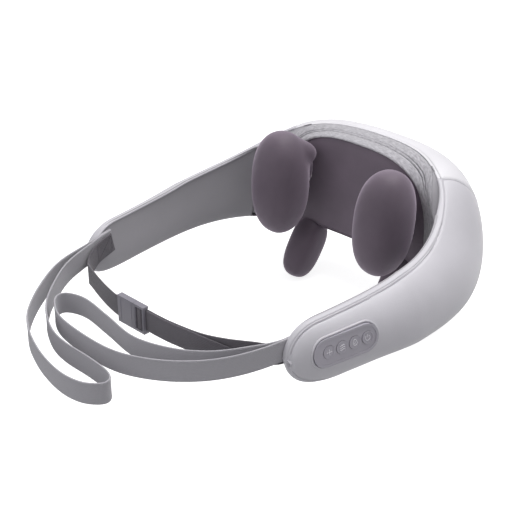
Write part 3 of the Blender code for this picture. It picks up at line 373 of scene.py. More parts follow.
def knit(t, w):
    """A point of the knit band; w is 0 at the leather and 1 at the dark panel."""
    side, t = (-1 if t < 0 else 1), abs(t)
    outer = knit_outline(t) if t <= KNIT_END else lining(KNIT_END, 0.3 + (t - KNIT_END) / (1 - KNIT_END) * 0.54)
    if t <= 0.75:
        x, z = panel_edge(t / 0.75 * math.pi / 2)
    else:
        x = PANEL_HALF_WIDTH
        z = PANEL_MIDDLE_Z + (PANEL_BOTTOM_Z + PANEL_INSET - PANEL_MIDDLE_Z) * (t - 0.75) / 0.25
    hollow = 0.004 * float(ease((t - 0.42) / 0.22)) * math.sin(math.pi * w)
    return mirrored(outer * (1 - w) + np.array([x, panel_y(x), z]) * w - inward(0.7) * hollow, side)


# --- mesh helpers
def placed(name, data):
    made = bpy.data.objects.new(name, data)
    bpy.context.scene.collection.objects.link(made)
    return made


def released(name, shape):
    """Turns a bmesh into a mesh and frees it."""
    mesh = bpy.data.meshes.new(name)
    shape.to_mesh(mesh)
    shape.free()
    return mesh


def linked(name, data, body, slot, replaced=None, look=None):
    """A piece of the object, attached to its body, which hides the node it replaces.

    Its material is that of the slot, unless look names another one."""
    made = placed(name, data)
    data.materials.append(LOOKS[look or slot])
    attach(made, body)
    if replaced:
        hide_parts(replaced)
    return made


def as_mesh(name, points, faces, uv):
    mesh = bpy.data.meshes.new(name)
    mesh.from_pydata([tuple(point) for point in points], [], faces)
    layer = mesh.uv_layers.new(name="UVMap")
    index = np.zeros(len(mesh.loops), int)
    mesh.loops.foreach_get("vertex_index", index)
    layer.data.foreach_set("uv", np.asarray(uv, float)[index].ravel())
    mesh.shade_smooth()
    mesh.update()
    return mesh


def normals_of(grid, outside):
    """Unit normals of a grid of points, on the side that outside is on."""
    across = np.cross(np.gradient(grid, axis=0), np.gradient(grid, axis=1))
    length = np.linalg.norm(across, axis=2, keepdims=True)
    across = across / np.maximum(length, 1e-12)
    across *= np.sign(((outside - grid) * across).sum(2).mean()) or 1.0
    across[length[..., 0] < 1e-11] = 0.0
    return across


def distances(grid, points):
    """How far each point of a grid is from the nearest of the points."""
    return np.sqrt(((grid.reshape(-1, 1, 3) - points[None]) ** 2).sum(2).min(1)).reshape(grid.shape[:2])


def metres_uv(grid):
    """UVs of a grid in metres, along its rows and across its columns."""
    along = np.linalg.norm(np.diff(grid, axis=0), axis=2).mean(1)
    across = np.linalg.norm(np.diff(grid, axis=1), axis=2)
    u = np.concatenate([[0.0], np.cumsum(along)])[:, None] + np.zeros(grid.shape[:2])
    v = np.concatenate([np.zeros((grid.shape[0], 1)), np.cumsum(across, axis=1)], axis=1)
    v -= v[:, -1:] / 2
    return np.stack([u, v], -1).reshape(-1, 2)


def grid_piece(name, grid, outside, thickness, slot, replaced=None, look=None):
    """A sheet of the given thickness, whose faces look towards the point outside."""
    rows, columns = grid.shape[:2]
    index = np.arange(rows * columns).reshape(rows, columns)
    faces = [(index[r, c], index[r + 1, c], index[r + 1, c + 1], index[r, c + 1])
             for r in range(rows - 1) for c in range(columns - 1)]
    quad = np.array(faces[len(faces) // 2])
    flat = grid.reshape(-1, 3)
    facing = np.cross(flat[quad[1]] - flat[quad[0]], flat[quad[2]] - flat[quad[0]])
    if facing @ (np.array(outside) - flat[quad[0]]) < 0:
        faces = [face[::-1] for face in faces]
    made = linked(name, as_mesh(name, flat, faces, metres_uv(grid)), "band", slot, replaced, look)
    solid = made.modifiers.new("thickness", "SOLIDIFY")
    solid.thickness = thickness
    solid.offset = -1.0
    return made


def tube(name, points, radius, body, slot, look=None, closed=False, resolution=3):
    curve = bpy.data.curves.new(name, "CURVE")
    curve.dimensions = "3D"
    curve.bevel_depth = radius
    curve.bevel_resolution = resolution
    curve.use_fill_caps = True
    line = curve.splines.new("POLY")
    line.points.add(len(points) - 1)
    for spot, point in zip(line.points, points):
        spot.co = (*point, 1.0)
    line.use_cyclic_u = closed
    line.use_smooth = True
    linked(name, curve, body, slot, look=look)


def lengths_along(path):
    return np.concatenate([[0.0], np.cumsum(np.linalg.norm(np.diff(path, axis=0), axis=1))])


def resampled(path, pitch):
    """Points of a path at even steps, with their directions."""
    lengths = lengths_along(path)
    at = np.arange(pitch / 2, lengths[-1], pitch)
    points, ahead, behind = (np.stack([np.interp(at + shift * pitch, lengths, path[:, k]) for k in range(3)], 1)
                             for shift in (0, 0.2, -0.2))
    directions = ahead - behind
    return points, directions / np.maximum(np.linalg.norm(directions, axis=1, keepdims=True), 1e-9)


def stitches(name, lines, look, slot, pitch=0.0030, length=0.0022, radius=0.00028):
    """Rows of raised thread.  Each line is (path, normal), with one normal for the line or one per point."""
    spots, faces = [], []
    for path, normal in lines:
        points, along = resampled(path, pitch)
        near = ((points[:, None] - path[None]) ** 2).sum(2).argmin(1)
        for point, direction, up in zip(points, along, np.broadcast_to(normal, path.shape)[near]):
            side = np.cross(direction, up)
            side /= max(np.linalg.norm(side), 1e-9)
            start = len(spots)
            for share, girth in ((-0.5, 0.25), (-0.32, 1.0), (0.32, 1.0), (0.5, 0.25)):
                lift = 0.25 if girth > 0.5 else -0.9
                for turn in range(5):
                    angle = turn / 5 * 2 * math.pi
                    around = (side * math.cos(angle) + up * math.sin(angle)) * girth
                    spots.append(point + direction * share * length + (around + up * lift) * radius)
            for ring in range(3):
                for turn in range(5):
                    a, b = start + ring * 5 + turn, start + ring * 5 + (turn + 1) % 5
                    faces.append((a, b, b + 5, a + 5))
            faces.append(tuple(start + turn for turn in reversed(range(5))))
            faces.append(tuple(start + 15 + turn for turn in range(5)))
    linked(name, as_mesh(name, spots, faces, [(p[0], p[2]) for p in spots]), "band", slot, look=look)


def crowded(count, share=0.65):
    """Numbers from 0 to 1 that crowd together at both ends."""
    t = np.linspace(-1, 1, count)
    return 0.5 + 0.5 * ((1 - share) * t + share * np.sin(t * math.pi / 2))


# --- leather, rims and linings
NECK = np.array([0.0, -0.02, 0.0])


def tip_stations(count, length=2 - TIP_FROM):
    """Values of u from where an arm starts to close to its tip, closer together at the tip."""
    return TIP_FROM + length * np.sin(np.linspace(0, 1, count)[1:] * math.pi / 2)


def boundary(side):
    """The rim of an arm as (outer point, inner point, centre) rows: along the top, round the tip, back."""
    def centre(u):
        return (skin(u, 0.5) + lining(u, 0.5)) / 2

    def row(u, part):
        width = EDGE_GAP + (RIM_WIDTH - EDGE_GAP) * float(ease((u - 0.47) / 0.17))
        edge = edges(u)[part]
        return edge, edge + inward(u) * width, centre(u)

    stations = np.concatenate([np.linspace(SEAM_AT, TIP_FROM, 90), tip_stations(60)])[:-1]
    rows = [row(u, 0) for u in stations]
    rows += [(skin(2.0, v), lining(2.0, v), centre(1.9)) for v in np.linspace(0, 1, 9)]
    rows += [row(u, 2) for u in stations[::-1]]
    return [[mirrored(point, side) for point in row] for row in rows]


def rim(name, rows, slot, height=0.0007, replaced=None):
    """A rolled edge that bridges the outer leather and the lining."""
    outer, inner, centre = (np.array([row[k] for row in rows]) for k in range(3))
    tangent = np.gradient((outer + inner) / 2, axis=0)
    for _ in range(2):
        tangent[1:-1] = (tangent[:-2] + tangent[1:-1] * 2 + tangent[2:]) / 4
    outwards = np.cross(tangent, inner - outer)
    outwards /= np.maximum(np.linalg.norm(outwards, axis=1, keepdims=True), 1e-12)
    outwards *= np.sign(((outer - centre) * outwards).sum(1, keepdims=True))
    angles = np.radians(np.linspace(-40, 220, 17))
    middle, half = (outer + inner) / 2, (outer - inner) / 2
    grid = np.stack([middle + half * 1.02 * math.cos(a) + outwards * height * math.sin(a) for a in angles], 1)
    third = len(middle) // 3
    grid_piece(name, grid, middle[third] + outwards[third] * 0.05, 0.0007, slot, replaced)


def cover_height(grid, edge_points, seams, piping=None):
    """How far the leather stands off its base surface, from the distance to its edges and seams.

    With piping, a rolled edge of that width runs along the edge, with a groove behind it."""
    to_edge = distances(grid, edge_points)
    if piping is not None:
        height = 0.0007 * (1 - np.exp(-np.maximum(to_edge - piping, 0) / 0.005))
        height += 0.0005 * np.sin(math.pi * np.minimum(to_edge / piping, 1))
        height -= 0.0009 * np.exp(-((to_edge - piping) / 0.0006) ** 2)
    else:
        height = 0.0006 * (1 - np.exp(-to_edge / 0.005)) - 0.0010 * np.exp(-(to_edge / 0.0011) ** 2)
    for seam in seams:
        to_seam = distances(grid, seam)
        height -= 0.0013 * np.exp(-(to_seam / 0.0013) ** 2) + 0.0003 * np.exp(-to_seam / 0.006)
    return height


def leather_grid(us, vs, seams, edge_us):
    """The leather over the skin; an arm's leather has piping that widens away from the seam."""
    grid = np.array([[skin(u, v) for v in vs] for u in us])
    normal = normals_of(grid, NECK) * -1
    is_arm = abs(us[-1]) > 1.5
    edge_points = np.array([skin(u, v) for u in edge_us for v in (0.0, 1.0)]
                           + ([skin(math.copysign(2.0, us[-1]), v) for v in vs] if is_arm else []))
    seam_points = [np.array([skin(u, v) for v in np.linspace(0, 1, 120)]) for u in seams]
    far_along = np.abs(us)[:, None]
    piping = 0.0009 + 0.0018 * ease((far_along - 0.55) / 0.35) if is_arm else None
    height = cover_height(grid, edge_points, seam_points, piping) * ease((2 - far_along) / 0.012)
    return grid + normal * height[..., None]


def outer_leather():
    fine = crowded(72)
    us = SEAM_AT * (2 * crowded(120, 0.55) - 1)
    grid = leather_grid(us, fine, (-SEAM_AT, SEAM_AT), np.linspace(-SEAM_AT, SEAM_AT, 260))
    grid_piece("back_leather", grid, (0, 0.5, 0), 0.0016, "leather_light", "outer_cover_centre")
    for name, side in SIDES:
        us = side * np.concatenate([SEAM_AT + (TIP_FROM - SEAM_AT) * np.linspace(0, 1, 100) ** 1.25,
                                    tip_stations(96)])
        us[-1] = side * 1.9995
        grid = leather_grid(us, fine, (side * SEAM_AT,), side * np.linspace(SEAM_AT, 2.0, 420))
        arm = grid_piece("arm_leather_" + name, grid, (side * 0.5, -0.05, 0), 0.0015, "leather_grey",
                         "outer_cover_" + name)
        if side > 0:
            pod_opening(arm, grid)
        rim("rim_" + name, boundary(side), "leather_grey", replaced="edge_piping_" + name)
        line_u, line_vs = SEAM_AT - 0.0155, np.linspace(0.015, 0.985, 160)
        path = np.array([skin(side * line_u, v) for v in line_vs])
        out = np.array([mirrored(-inward(line_u), side) + np.array([0, 0, 0.3 * (1 - 2 * v)]) for v in line_vs])
        out /= np.linalg.norm(out, axis=1, keepdims=True)
        stitches("seam_stitches_" + name, [(path + out * 0.0004, out)], "thread_light", "leather_light")
    for name, part in (("top", 0), ("bottom", 2)):
        rows = []
        for u in np.linspace(-SEAM_AT, SEAM_AT, 150):
            edge = edges(abs(u))[part]
            row = (edge, edge + inward(abs(u)) * EDGE_GAP, (skin(abs(u), 0.5) + edge) / 2)
            rows.append([mirrored(point, -1 if u < 0 else 1) for point in row])
        rim("back_rim_" + name, rows, "leather_light", 0.0006)


def arm_linings():
    for name, side in SIDES:
        us = side * np.concatenate([np.linspace(LINING_FROM - 0.012, TIP_FROM, 80), tip_stations(50, 0.5995)])
        vs = crowded(52)
        grid = np.array([[lining(u, v) for v in vs] for u in us])
        normal = normals_of(grid, np.array([0.0, -0.08, 0.0]))
        edge_points = np.array([lining(side * u, v) for u in np.linspace(LINING_FROM, 2.0, 360) for v in (0.0, 1.0)]
                               + [lining(side * 2.0, v) for v in vs])
        distance = distances(grid, edge_points)
        height = 0.0005 * (1 - np.exp(-distance / 0.006)) - 0.0007 * np.exp(-(distance / 0.001) ** 2)
        grid = grid + normal * height[..., None]
        grid_piece("arm_lining_" + name, grid, (0, -0.08, 0), 0.0012, "lining_grey", "inner_lining_" + name)
        rows = []
        for u in np.linspace(0.35, LINING_FROM + 0.005, 70):
            outer, inner = leather_inside(u), knit_outline(u)
            rows.append([mirrored(outer * (1 - w) + inner * w - inward(u) * 0.0008 * math.sin(math.pi * w), side)
                         for w in np.linspace(-0.04, 1.04, 12)])
        grid_piece("lining_strip_" + name, np.array(rows), (0, -0.08, 0.1), 0.0010, "lining_grey")


# --- knit band and dark covers
def knit_strip(name, low, high, puff, thickness, replaced, columns=18):
    """A strip of the knit band between two values of w, with a fine groove along both sides."""
    ws = low + (high - low) * crowded(columns, 0.7)
    grid = np.array([[knit(t, w) for w in ws] for t in np.linspace(-1, 1, 260)])
    normal = normals_of(grid, np.array([0.0, -0.10, 0.35]))
    share = (ws - low) / (high - low)
    height = puff * np.sin(math.pi * share) ** 0.55
    for gap in (share, 1 - share):
        height = height - 0.0011 * np.exp(-((gap * (high - low) * 80) ** 2) * 0.5)
    grid = grid + normal * height[None, :, None]
    grid_piece(name, grid, (0, -0.10, 0.35), thickness, "knit_grey", replaced)


def dark_covers():
    """The panel between the palms, and the cover under it that closes the band's lower side."""
    shares = np.linspace(-1, 1, 121)
    rows = []
    for s in shares:
        x, top_z = panel_edge(abs(s) * math.pi / 2, 0.0002)
        x = math.copysign(x, s)
        bottom_z = PANEL_BOTTOM_Z + 0.0008
        rows.append([(x, panel_y(x) - 0.0006, top_z + (bottom_z - top_z) * w) for w in crowded(60, 0.5)])
    grid = np.array(rows)
    distance = distances(grid, np.concatenate([grid[:, 0], grid[0], grid[-1]]))
    grid[..., 1] += 0.0032 * np.exp(-distance / 0.0045) + 0.0020 * np.exp(-(grid[..., 2] - PANEL_BOTTOM_Z) / 0.004)
    grid_piece("nape_panel", grid, (0, -0.5, 0), 0.0010, "stretch_mauve", "inner_cover", "stretch_panel")
    rows = []
    for s in shares:
        share = abs(s)
        outer = edges(share * KNIT_END)[2] + inward(share * KNIT_END) * EDGE_GAP
        if share <= 0.6:
            x = PANEL_HALF_WIDTH * share / 0.6
            inner = np.array([x, panel_y(x), PANEL_BOTTOM_Z])
        else:
            panel_end = np.array([PANEL_HALF_WIDTH, panel_y(PANEL_HALF_WIDTH), PANEL_BOTTOM_Z])
            inner = panel_end + (lining(KNIT_END, 1.0) - panel_end) * (share - 0.6) / 0.4 * 0.98
        w = np.linspace(0, 1, 22)[:, None]
        line = inner + (outer - inner) * w
        line[:, 2:] -= 0.0016 * np.sin(math.pi * w).clip(0) ** 0.7
        rows.append(mirrored(line, math.copysign(1, s)))
    grid_piece("under_panel", np.array(rows), (0, 0.07, -0.5), 0.0010, "stretch_mauve", "bottom_cover",
               "stretch_panel")


# --- padded palms and thumbs
# Middles, half sizes and ends of the left pads; the right ones are mirrored.
PALM_AT, PALM_HALF, PALM_LEAN = (0.0655, 0.0215, 0.0215), (0.0268, 0.0272, 0.0520), (0.0018, 0.0030)
HUMP_FRONT, HUMP_BACK, HUMP_RADIUS = (0.0610, 0.0310, 0.0565), (0.0530, 0.0465, 0.0485), 0.0120
PALM_ROOT_AT, PALM_ROOT_HALF, PALM_HELD_FROM_Y = (0.0625, 0.0490, 0.030), (0.0090, 0.0130, 0.0220), 0.052
THUMB_ROOT, THUMB_TIP, THUMB_HALF = (0.060, 0.0665, -0.041), (0.060, 0.0455, -0.0723), (0.0174, 0.0160, 0.0330)
THUMB_HELD_FROM_Z = -0.042


def rounded_box(centre, half, roundness, turn=None, cuts=14, taper=0.0):
    """A rounded box as one closed bmesh shell; taper narrows it towards its local +Z."""
    shape = bmesh.new()
    bmesh.ops.create_cube(shape, size=2.0)
    bmesh.ops.subdivide_edges(shape, edges=shape.edges, cuts=cuts, use_grid_fill=True)
    turn = turn or Matrix.Identity(3)
    for vertex in shape.verts:
        length = sum(abs(value) ** roundness for value in vertex.co) ** (1 / roundness)
        local = Vector([value / length * size for value, size in zip(vertex.co, half)])
        local.x *= 1 - taper * local.z / half[2]
        local.y *= 1 - taper * local.z / half[2]
        vertex.co = turn @ local + Vector(centre)
    return shape


def fused(name, shapes, voxel):
    """One mesh through several overlapping shells, with their meeting lines smoothed."""
    whole = bmesh.new()
    for shape in shapes:
        mesh = released("shell", shape)
        whole.from_mesh(mesh)
        bpy.data.meshes.remove(mesh)
    made = placed(name, released(name, whole))
    remesh = made.modifiers.new("remesh", "REMESH")
    remesh.mode = "VOXEL"
    remesh.voxel_size = voxel
    settle = made.modifiers.new("settle", "SMOOTH")
    settle.factor = 0.6
    settle.iterations = 9
    baked(made)
    return made


def baked(made):
    """Applies every modifier by copying the evaluated mesh."""
    mesh = bpy.data.meshes.new_from_object(made.evaluated_get(bpy.context.evaluated_depsgraph_get()))
    made.modifiers.clear()
    made.data = mesh
    mesh.shade_smooth()


def swollen(made, most, held):
    """Fills a shell with pressure as cloth.  Points that held names stay; no point moves more than most."""
    base = np.array([vertex.co for vertex in made.data.vertices])
    pins = made.vertex_groups.new(name="held")
    for index in np.nonzero(held(base))[0]:
        pins.add([int(index)], 1.0, "REPLACE")
    cloth = made.modifiers.new("fill", "CLOTH")
    for setting, value in (("quality", 6), ("mass", 0.2), ("tension_stiffness", 12), ("compression_stiffness", 12),
                           ("bending_stiffness", 0.8), ("use_pressure", True), ("uniform_pressure_force", 4.0),
                           ("vertex_group_mass", "held")):
        setattr(cloth.settings, setting, value)
    cloth.settings.effector_weights.gravity = 0.0
    cloth.point_cache.frame_start, cloth.point_cache.frame_end = 1, 20
    for step in range(1, 21):
        bpy.context.scene.frame_set(step)
    graph = bpy.context.evaluated_depsgraph_get()
    filled = np.array([vertex.co for vertex in made.evaluated_get(graph).data.vertices])
    made.modifiers.clear()
    shift = filled - base
    length = np.linalg.norm(shift, axis=1, keepdims=True)
    shift *= np.minimum(1.0, most / np.maximum(length, 1e-9))
    for vertex, co in zip(made.data.vertices, base + shift):
        vertex.co = co
    bpy.context.scene.frame_set(1)


def finished_pad(made, replaced):
    """Refines a pad, gives it its fabric, bakes its placement into its mesh and hides the node it replaces."""
    finer = made.modifiers.new("finer", "SUBSURF")
    finer.levels = finer.render_levels = 1
    baked(made)
    made.data.materials.clear()
    made.data.materials.append(LOOKS["stretch_mauve"])
    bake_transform(made)
    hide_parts(replaced)


def leant(shape, centre, lean, narrow):
    """Leans a shell away from its centre with height, and narrows its lower half."""
    for vertex in shape.verts:
        height = (vertex.co.z - centre[2]) / 0.050
        low = max(0.0, -height)
        for axis in (0, 1):
            vertex.co[axis] = centre[axis] + (vertex.co[axis] - centre[axis]) * (1 - narrow * low ** 1.5)
            vertex.co[axis] += lean[axis] * height
    return shape


def palm_pads():
    for name, side in SIDES:
        mirror = Vector((side, 1, 1))
        centre, front, back = (Vector(point) * mirror for point in (PALM_AT, HUMP_FRONT, HUMP_BACK))
        main = leant(rounded_box(centre, PALM_HALF, 2.5), centre, (side * PALM_LEAN[0], PALM_LEAN[1]), 0.04)
        turn = (back - front).to_track_quat("Z", "X").to_matrix()
        half = (back - front).length / 2 + 0.0100
        hump = rounded_box((front + back) / 2, (HUMP_RADIUS, HUMP_RADIUS, half), 2.3, turn, cuts=8)
        root = rounded_box(Vector(PALM_ROOT_AT) * mirror, PALM_ROOT_HALF, 2.6, cuts=8)
        pad = fused("palm_pad_" + name, (main, hump, root), 0.0032)
        swollen(pad, 0.0012, lambda points: points[:, 1] > PALM_HELD_FROM_Y)
        finished_pad(pad, "palm_lobe_" + name)


def thumb_pads():
    root, tip = Vector(THUMB_ROOT), Vector(THUMB_TIP)
    along = (tip - root).normalized()
    turn = along.to_track_quat("Z", "X").to_matrix()
    for name, side in SIDES:
        mirror = Vector((side, 1, 1))
        centre = (root + tip) / 2 + along * 0.0042
        main = rounded_box(centre * mirror, THUMB_HALF, 2.9, turn, taper=0.05)
        pad = fused("thumb_pad_" + name, (main,), 0.0026)
        swollen(pad, 0.0006, lambda points: points[:, 2] > THUMB_HELD_FROM_Z)
        finished_pad(pad, "thumb_lobe_" + name)


# --- control pod
POD_AT, POD_ACROSS, POD_SLOPE = 1.636, 0.41, math.radians(2.0)
POD_LENGTH, POD_WIDTH = 0.0645, 0.025


def pod_frame():
    """Local axes of the pod: X along the arm to the back, Y up, Z out of the arm."""
    here = skin(POD_AT, POD_ACROSS)
    backwards = Vector(skin(POD_AT - 0.2, POD_ACROSS) - skin(POD_AT + 0.2, POD_ACROSS))
    upwards = Vector(skin(POD_AT, POD_ACROSS - 0.12) - skin(POD_AT, POD_ACROSS + 0.12))
    outwards = backwards.cross(upwards).normalized()
    level = Vector((backwards.x, backwards.y, 0)).normalized()
    level = (level - outwards * level.dot(outwards)).normalized()
    made = Matrix((level, outwards.cross(level).normalized(), outwards)).transposed().to_4x4()
    made.translation = Vector(here)
    return made @ Matrix.Rotation(POD_SLOPE, 4, "Z")


POD = pod_frame()


def capsule(length, width):
    """The outline of a plate with round ends, anticlockwise."""
    radius = width / 2
    middle = length / 2 - radius
    points = []
    for end in (1, -1):
        points += [(end * (middle + radius * math.cos(angle)), end * radius * math.sin(angle))
                   for angle in np.linspace(-math.pi / 2, math.pi / 2, 14)]
        points += [(end * middle * share, end * radius) for share in np.linspace(1, -1, 14)[1:-1]]
    return points


def pod_opening(arm, grid):
    """Cuts the leather open round the pod and lays a leather ring on the cut edge."""
    shape = bmesh.new()
    outline = capsule(POD_LENGTH + 0.0012, POD_WIDTH + 0.0012)
    face = shape.faces.new([shape.verts.new((x, y, -0.010)) for x, y in outline])
    lifted = bmesh.ops.extrude_face_region(shape, geom=[face])
    bmesh.ops.translate(shape, vec=(0, 0, 0.030),
                        verts=[item for item in lifted["geom"] if isinstance(item, bmesh.types.BMVert)])
    bmesh.ops.recalc_face_normals(shape, faces=shape.faces)
    bmesh.ops.transform(shape, matrix=POD, verts=shape.verts)
    cutter = placed("pod_cut", released("pod_cut", shape))
    cut = arm.modifiers.new("pod", "BOOLEAN")
    cut.operation = "DIFFERENCE"
    cut.object = cutter
    whole = bpy.data.meshes.new_from_object(arm.evaluated_get(bpy.context.evaluated_depsgraph_get()))
    arm.modifiers.clear()
    arm.data = whole
    whole.set_sharp_from_angle(angle=math.radians(50))
    bpy.data.objects.remove(cutter)
    back = np.array(POD.inverted())
    local = grid.reshape(-1, 3) @ back[:3, :3].T + back[:3, 3]
    ring = []
    for x, y in capsule(POD_LENGTH + 0.0020, POD_WIDTH + 0.0020):
        near = ((local[:, :2] - (x, y)) ** 2).sum(1)
        close = near.argsort()[:6]
        weight = 1 / (near[close] + 1e-8)
        height = (local[close, 2] * weight).sum() / weight.sum()
        ring.append(POD @ Vector((x, y, height - 0.0002)))
    tube("pod_ring", ring, 0.0011, "band", "leather_grey", closed=True)


def rounded_edges(node, width, segments=2):
    made = nodes[node].modifiers.new("round", "BEVEL")
    made.width = width
    made.segments = segments
    made.limit_method = "ANGLE"
    made.angle_limit = math.radians(40)


def icons():
    """Raised icons in millimetres from the middle of each button, and a ring round the power button."""
    pitch, shift, face = 0.0128, 0.002, 0.00062

    def on_button(index, points):
        centre = (index - 1.5) * pitch + shift
        return [POD @ Vector((centre + x * 0.001, y * 0.001, face)) for x, y in points]

    turn = np.linspace(0, 2 * math.pi, 33)
    drawings = {
        "plus": [[(-2.6, 0), (2.6, 0)], [(0, -2.6), (0, 2.6)]],
        "mode": [[(x, row + 0.35 * math.sin(x * 1.5)) for x in np.linspace(-2.4, 2.4, 15)] for row in (-1.9, 0, 1.9)],
        "heat": [[(2.0 * math.sin(a), -0.5 + 2.0 * math.cos(a) + (1.5 * max(0.0, math.cos(a)) ** 4)) for a in turn],
                 [(-0.9, -1.3), (0.9, 0.7)]],
        "power": [[(2.3 * math.sin(a), 2.3 * math.cos(a)) for a in np.linspace(0.7, 2 * math.pi - 0.7, 25)],
                  [(0, 0.3), (0, 3.0)]],
    }
    for index, (name, strokes) in enumerate(drawings.items()):
        for number, stroke in enumerate(strokes):
            tube("icon_%s_%d" % (name, number), on_button(index, stroke), 0.00028, name + "_button", "pod_grey",
                 "icon_paint", resolution=1)
    ring = on_button(3, [(5.0 * math.cos(a), 5.0 * math.sin(a)) for a in turn[:-1]])
    tube("power_ring", ring, 0.00040, "power_button", "pod_grey", closed=True)


# --- straps and buckle
WEBBING_WIDTH, WEBBING, ELASTIC = 0.020, 0.0014, 0.0012
LEFT_LOOP = [(0.1226, -0.149), (0.1193, -0.172), (0.109, -0.200), (0.093, -0.226), (0.072, -0.248),
             (0.046, -0.264), (0.020, -0.271), (-0.016, -0.271), (-0.045, -0.267), (-0.064, -0.258),
             (-0.074, -0.248), (-0.071, -0.239), (-0.052, -0.234), (-0.017, -0.239), (0.024, -0.245),
             (0.059, -0.235), (0.084, -0.217), (0.103, -0.194), (0.1177, -0.172), (0.1210, -0.149)]
RIGHT_LOOP = [(-0.1230, -0.149), (-0.1198, -0.172), (-0.116, -0.214), (-0.099, -0.249), (-0.076, -0.277),
              (-0.054, -0.293), (-0.033, -0.303), (-0.008, -0.311), (0.019, -0.315), (0.039, -0.312),
              (0.051, -0.303), (0.052, -0.294), (0.042, -0.288), (0.017, -0.286), (-0.013, -0.286),
              (-0.035, -0.282), (-0.058, -0.271), (-0.078, -0.256), (-0.095, -0.236), (-0.110, -0.209),
              (-0.1179, -0.172), (-0.1212, -0.149)]
LOOPS = (("left", LEFT_LOOP, (-0.004, -0.010, -0.010)), ("right", RIGHT_LOOP, (0.001, -0.012, -0.015)))
BUCKLE = (-0.0170, -0.2115, -0.010)
LEFT_ELASTIC = [(0.1192, -0.149), (0.1157, -0.171), (0.0975, -0.184), (0.078, -0.196), (0.058, -0.204),
                (0.030, -0.2084), (0.013, -0.2093)]
RIGHT_ELASTIC = [(-0.1194, -0.149), (-0.1162, -0.171), (-0.109, -0.1865), (-0.093, -0.1955), (-0.065, -0.2055),
                 (-0.042, -0.2110), (-0.0313, -0.2115)]
RIGHT_ELASTIC_Z = (-0.001, -0.006, -0.014, -0.0112, -0.010, -0.010, -0.010)


def smooth_path(points, per_span):
    """A Catmull-Rom curve through the points."""
    knots = [np.array(point, float) for point in points]
    knots = [2 * knots[0] - knots[1]] + knots + [2 * knots[-1] - knots[-2]]
    path = []
    for a, b, c, d in zip(knots, knots[1:], knots[2:], knots[3:]):
        for step in range(per_span):
            t = step / per_span
            path.append(0.5 * (2 * b + (c - a) * t + (2 * a - 5 * b + 4 * c - d) * t ** 2
                               + (3 * b - a - 3 * c + d) * t ** 3))
    return path + [knots[-2]]


PROFILE = [(-0.5, 0.0), (-0.492, 0.34), (-0.465, 0.52), (-0.42, 0.50), (-0.2, 0.47), (0.0, 0.46), (0.2, 0.47),
           (0.42, 0.50), (0.465, 0.52), (0.492, 0.34)]
PROFILE += [(-w, -t) for w, t in PROFILE]


def ribbon(name, path, thickness, width, slot, replaced=None, look=None):
    """Webbing that stands on edge along a path, with thicker woven edges; also its up and square directions."""
    path = np.array(path, float)
    along = np.gradient(path, axis=0)
    along /= np.linalg.norm(along, axis=1, keepdims=True)
    up = np.array([0.0, 0.0, 1.0]) - along * along[:, 2:3]
    up /= np.linalg.norm(up, axis=1, keepdims=True)
    square = np.cross(along, up)
    grid = np.stack([path + up * w * width + square * t * thickness for w, t in PROFILE], 1)
    rows, columns = grid.shape[:2]
    index = np.arange(rows * columns).reshape(rows, columns)
    faces = [(index[r, c], index[r, (c + 1) % columns], index[r + 1, (c + 1) % columns], index[r + 1, c])
             for r in range(rows - 1) for c in range(columns)]
    faces += [tuple(index[0][::-1]), tuple(index[-1])]
    uv = np.stack([np.repeat(lengths_along(path), columns), np.tile([w * width for w, _ in PROFILE], rows)], 1)
    made = linked(name, as_mesh(name, grid.reshape(-1, 3), faces, uv), "band", slot, replaced, look)
    made.data.set_sharp_from_angle(angle=math.radians(60))
    return made, up, square


def edge_lines(path, up, square):
    """Stitch lines along both edges and on both faces of a hand loop."""
    return [(path + up * edge * (WEBBING_WIDTH / 2 - 0.0016) + square * face * WEBBING * 0.5, square * face)
            for edge in (-1, 1) for face in (-1, 1)]


def hand_loops():
    for name, points, (start_z, side_z, far_z) in LOOPS:
        flat = smooth_path(points, 9)
        count = len(flat) - 1
        path = []
        for index, (x, y) in enumerate(flat):
            share = 1 - abs(2 * index / count - 1)
            drop = float(ease(share / 0.35))
            path.append((x, y, start_z + (side_z - start_z) * drop + (far_z - side_z) * max(0.0, share - 0.35) / 0.65))
        _, up, square = ribbon("hand_strap_" + name, path, WEBBING, WEBBING_WIDTH, "webbing_grey",
                               "hand_loop_" + name)
        stitches("strap_stitches_" + name, edge_lines(np.array(path), up, square), "thread_mid", "webbing_grey",
                 pitch=0.0026, length=0.0019, radius=0.00020)


def round_corner(centre, radius, low, high):
    """Points of an arc between two angles in degrees."""
    return [(centre[0] + radius * math.cos(a), centre[1] + radius * math.sin(a))
            for a in np.radians(np.linspace(low, high, 7))]


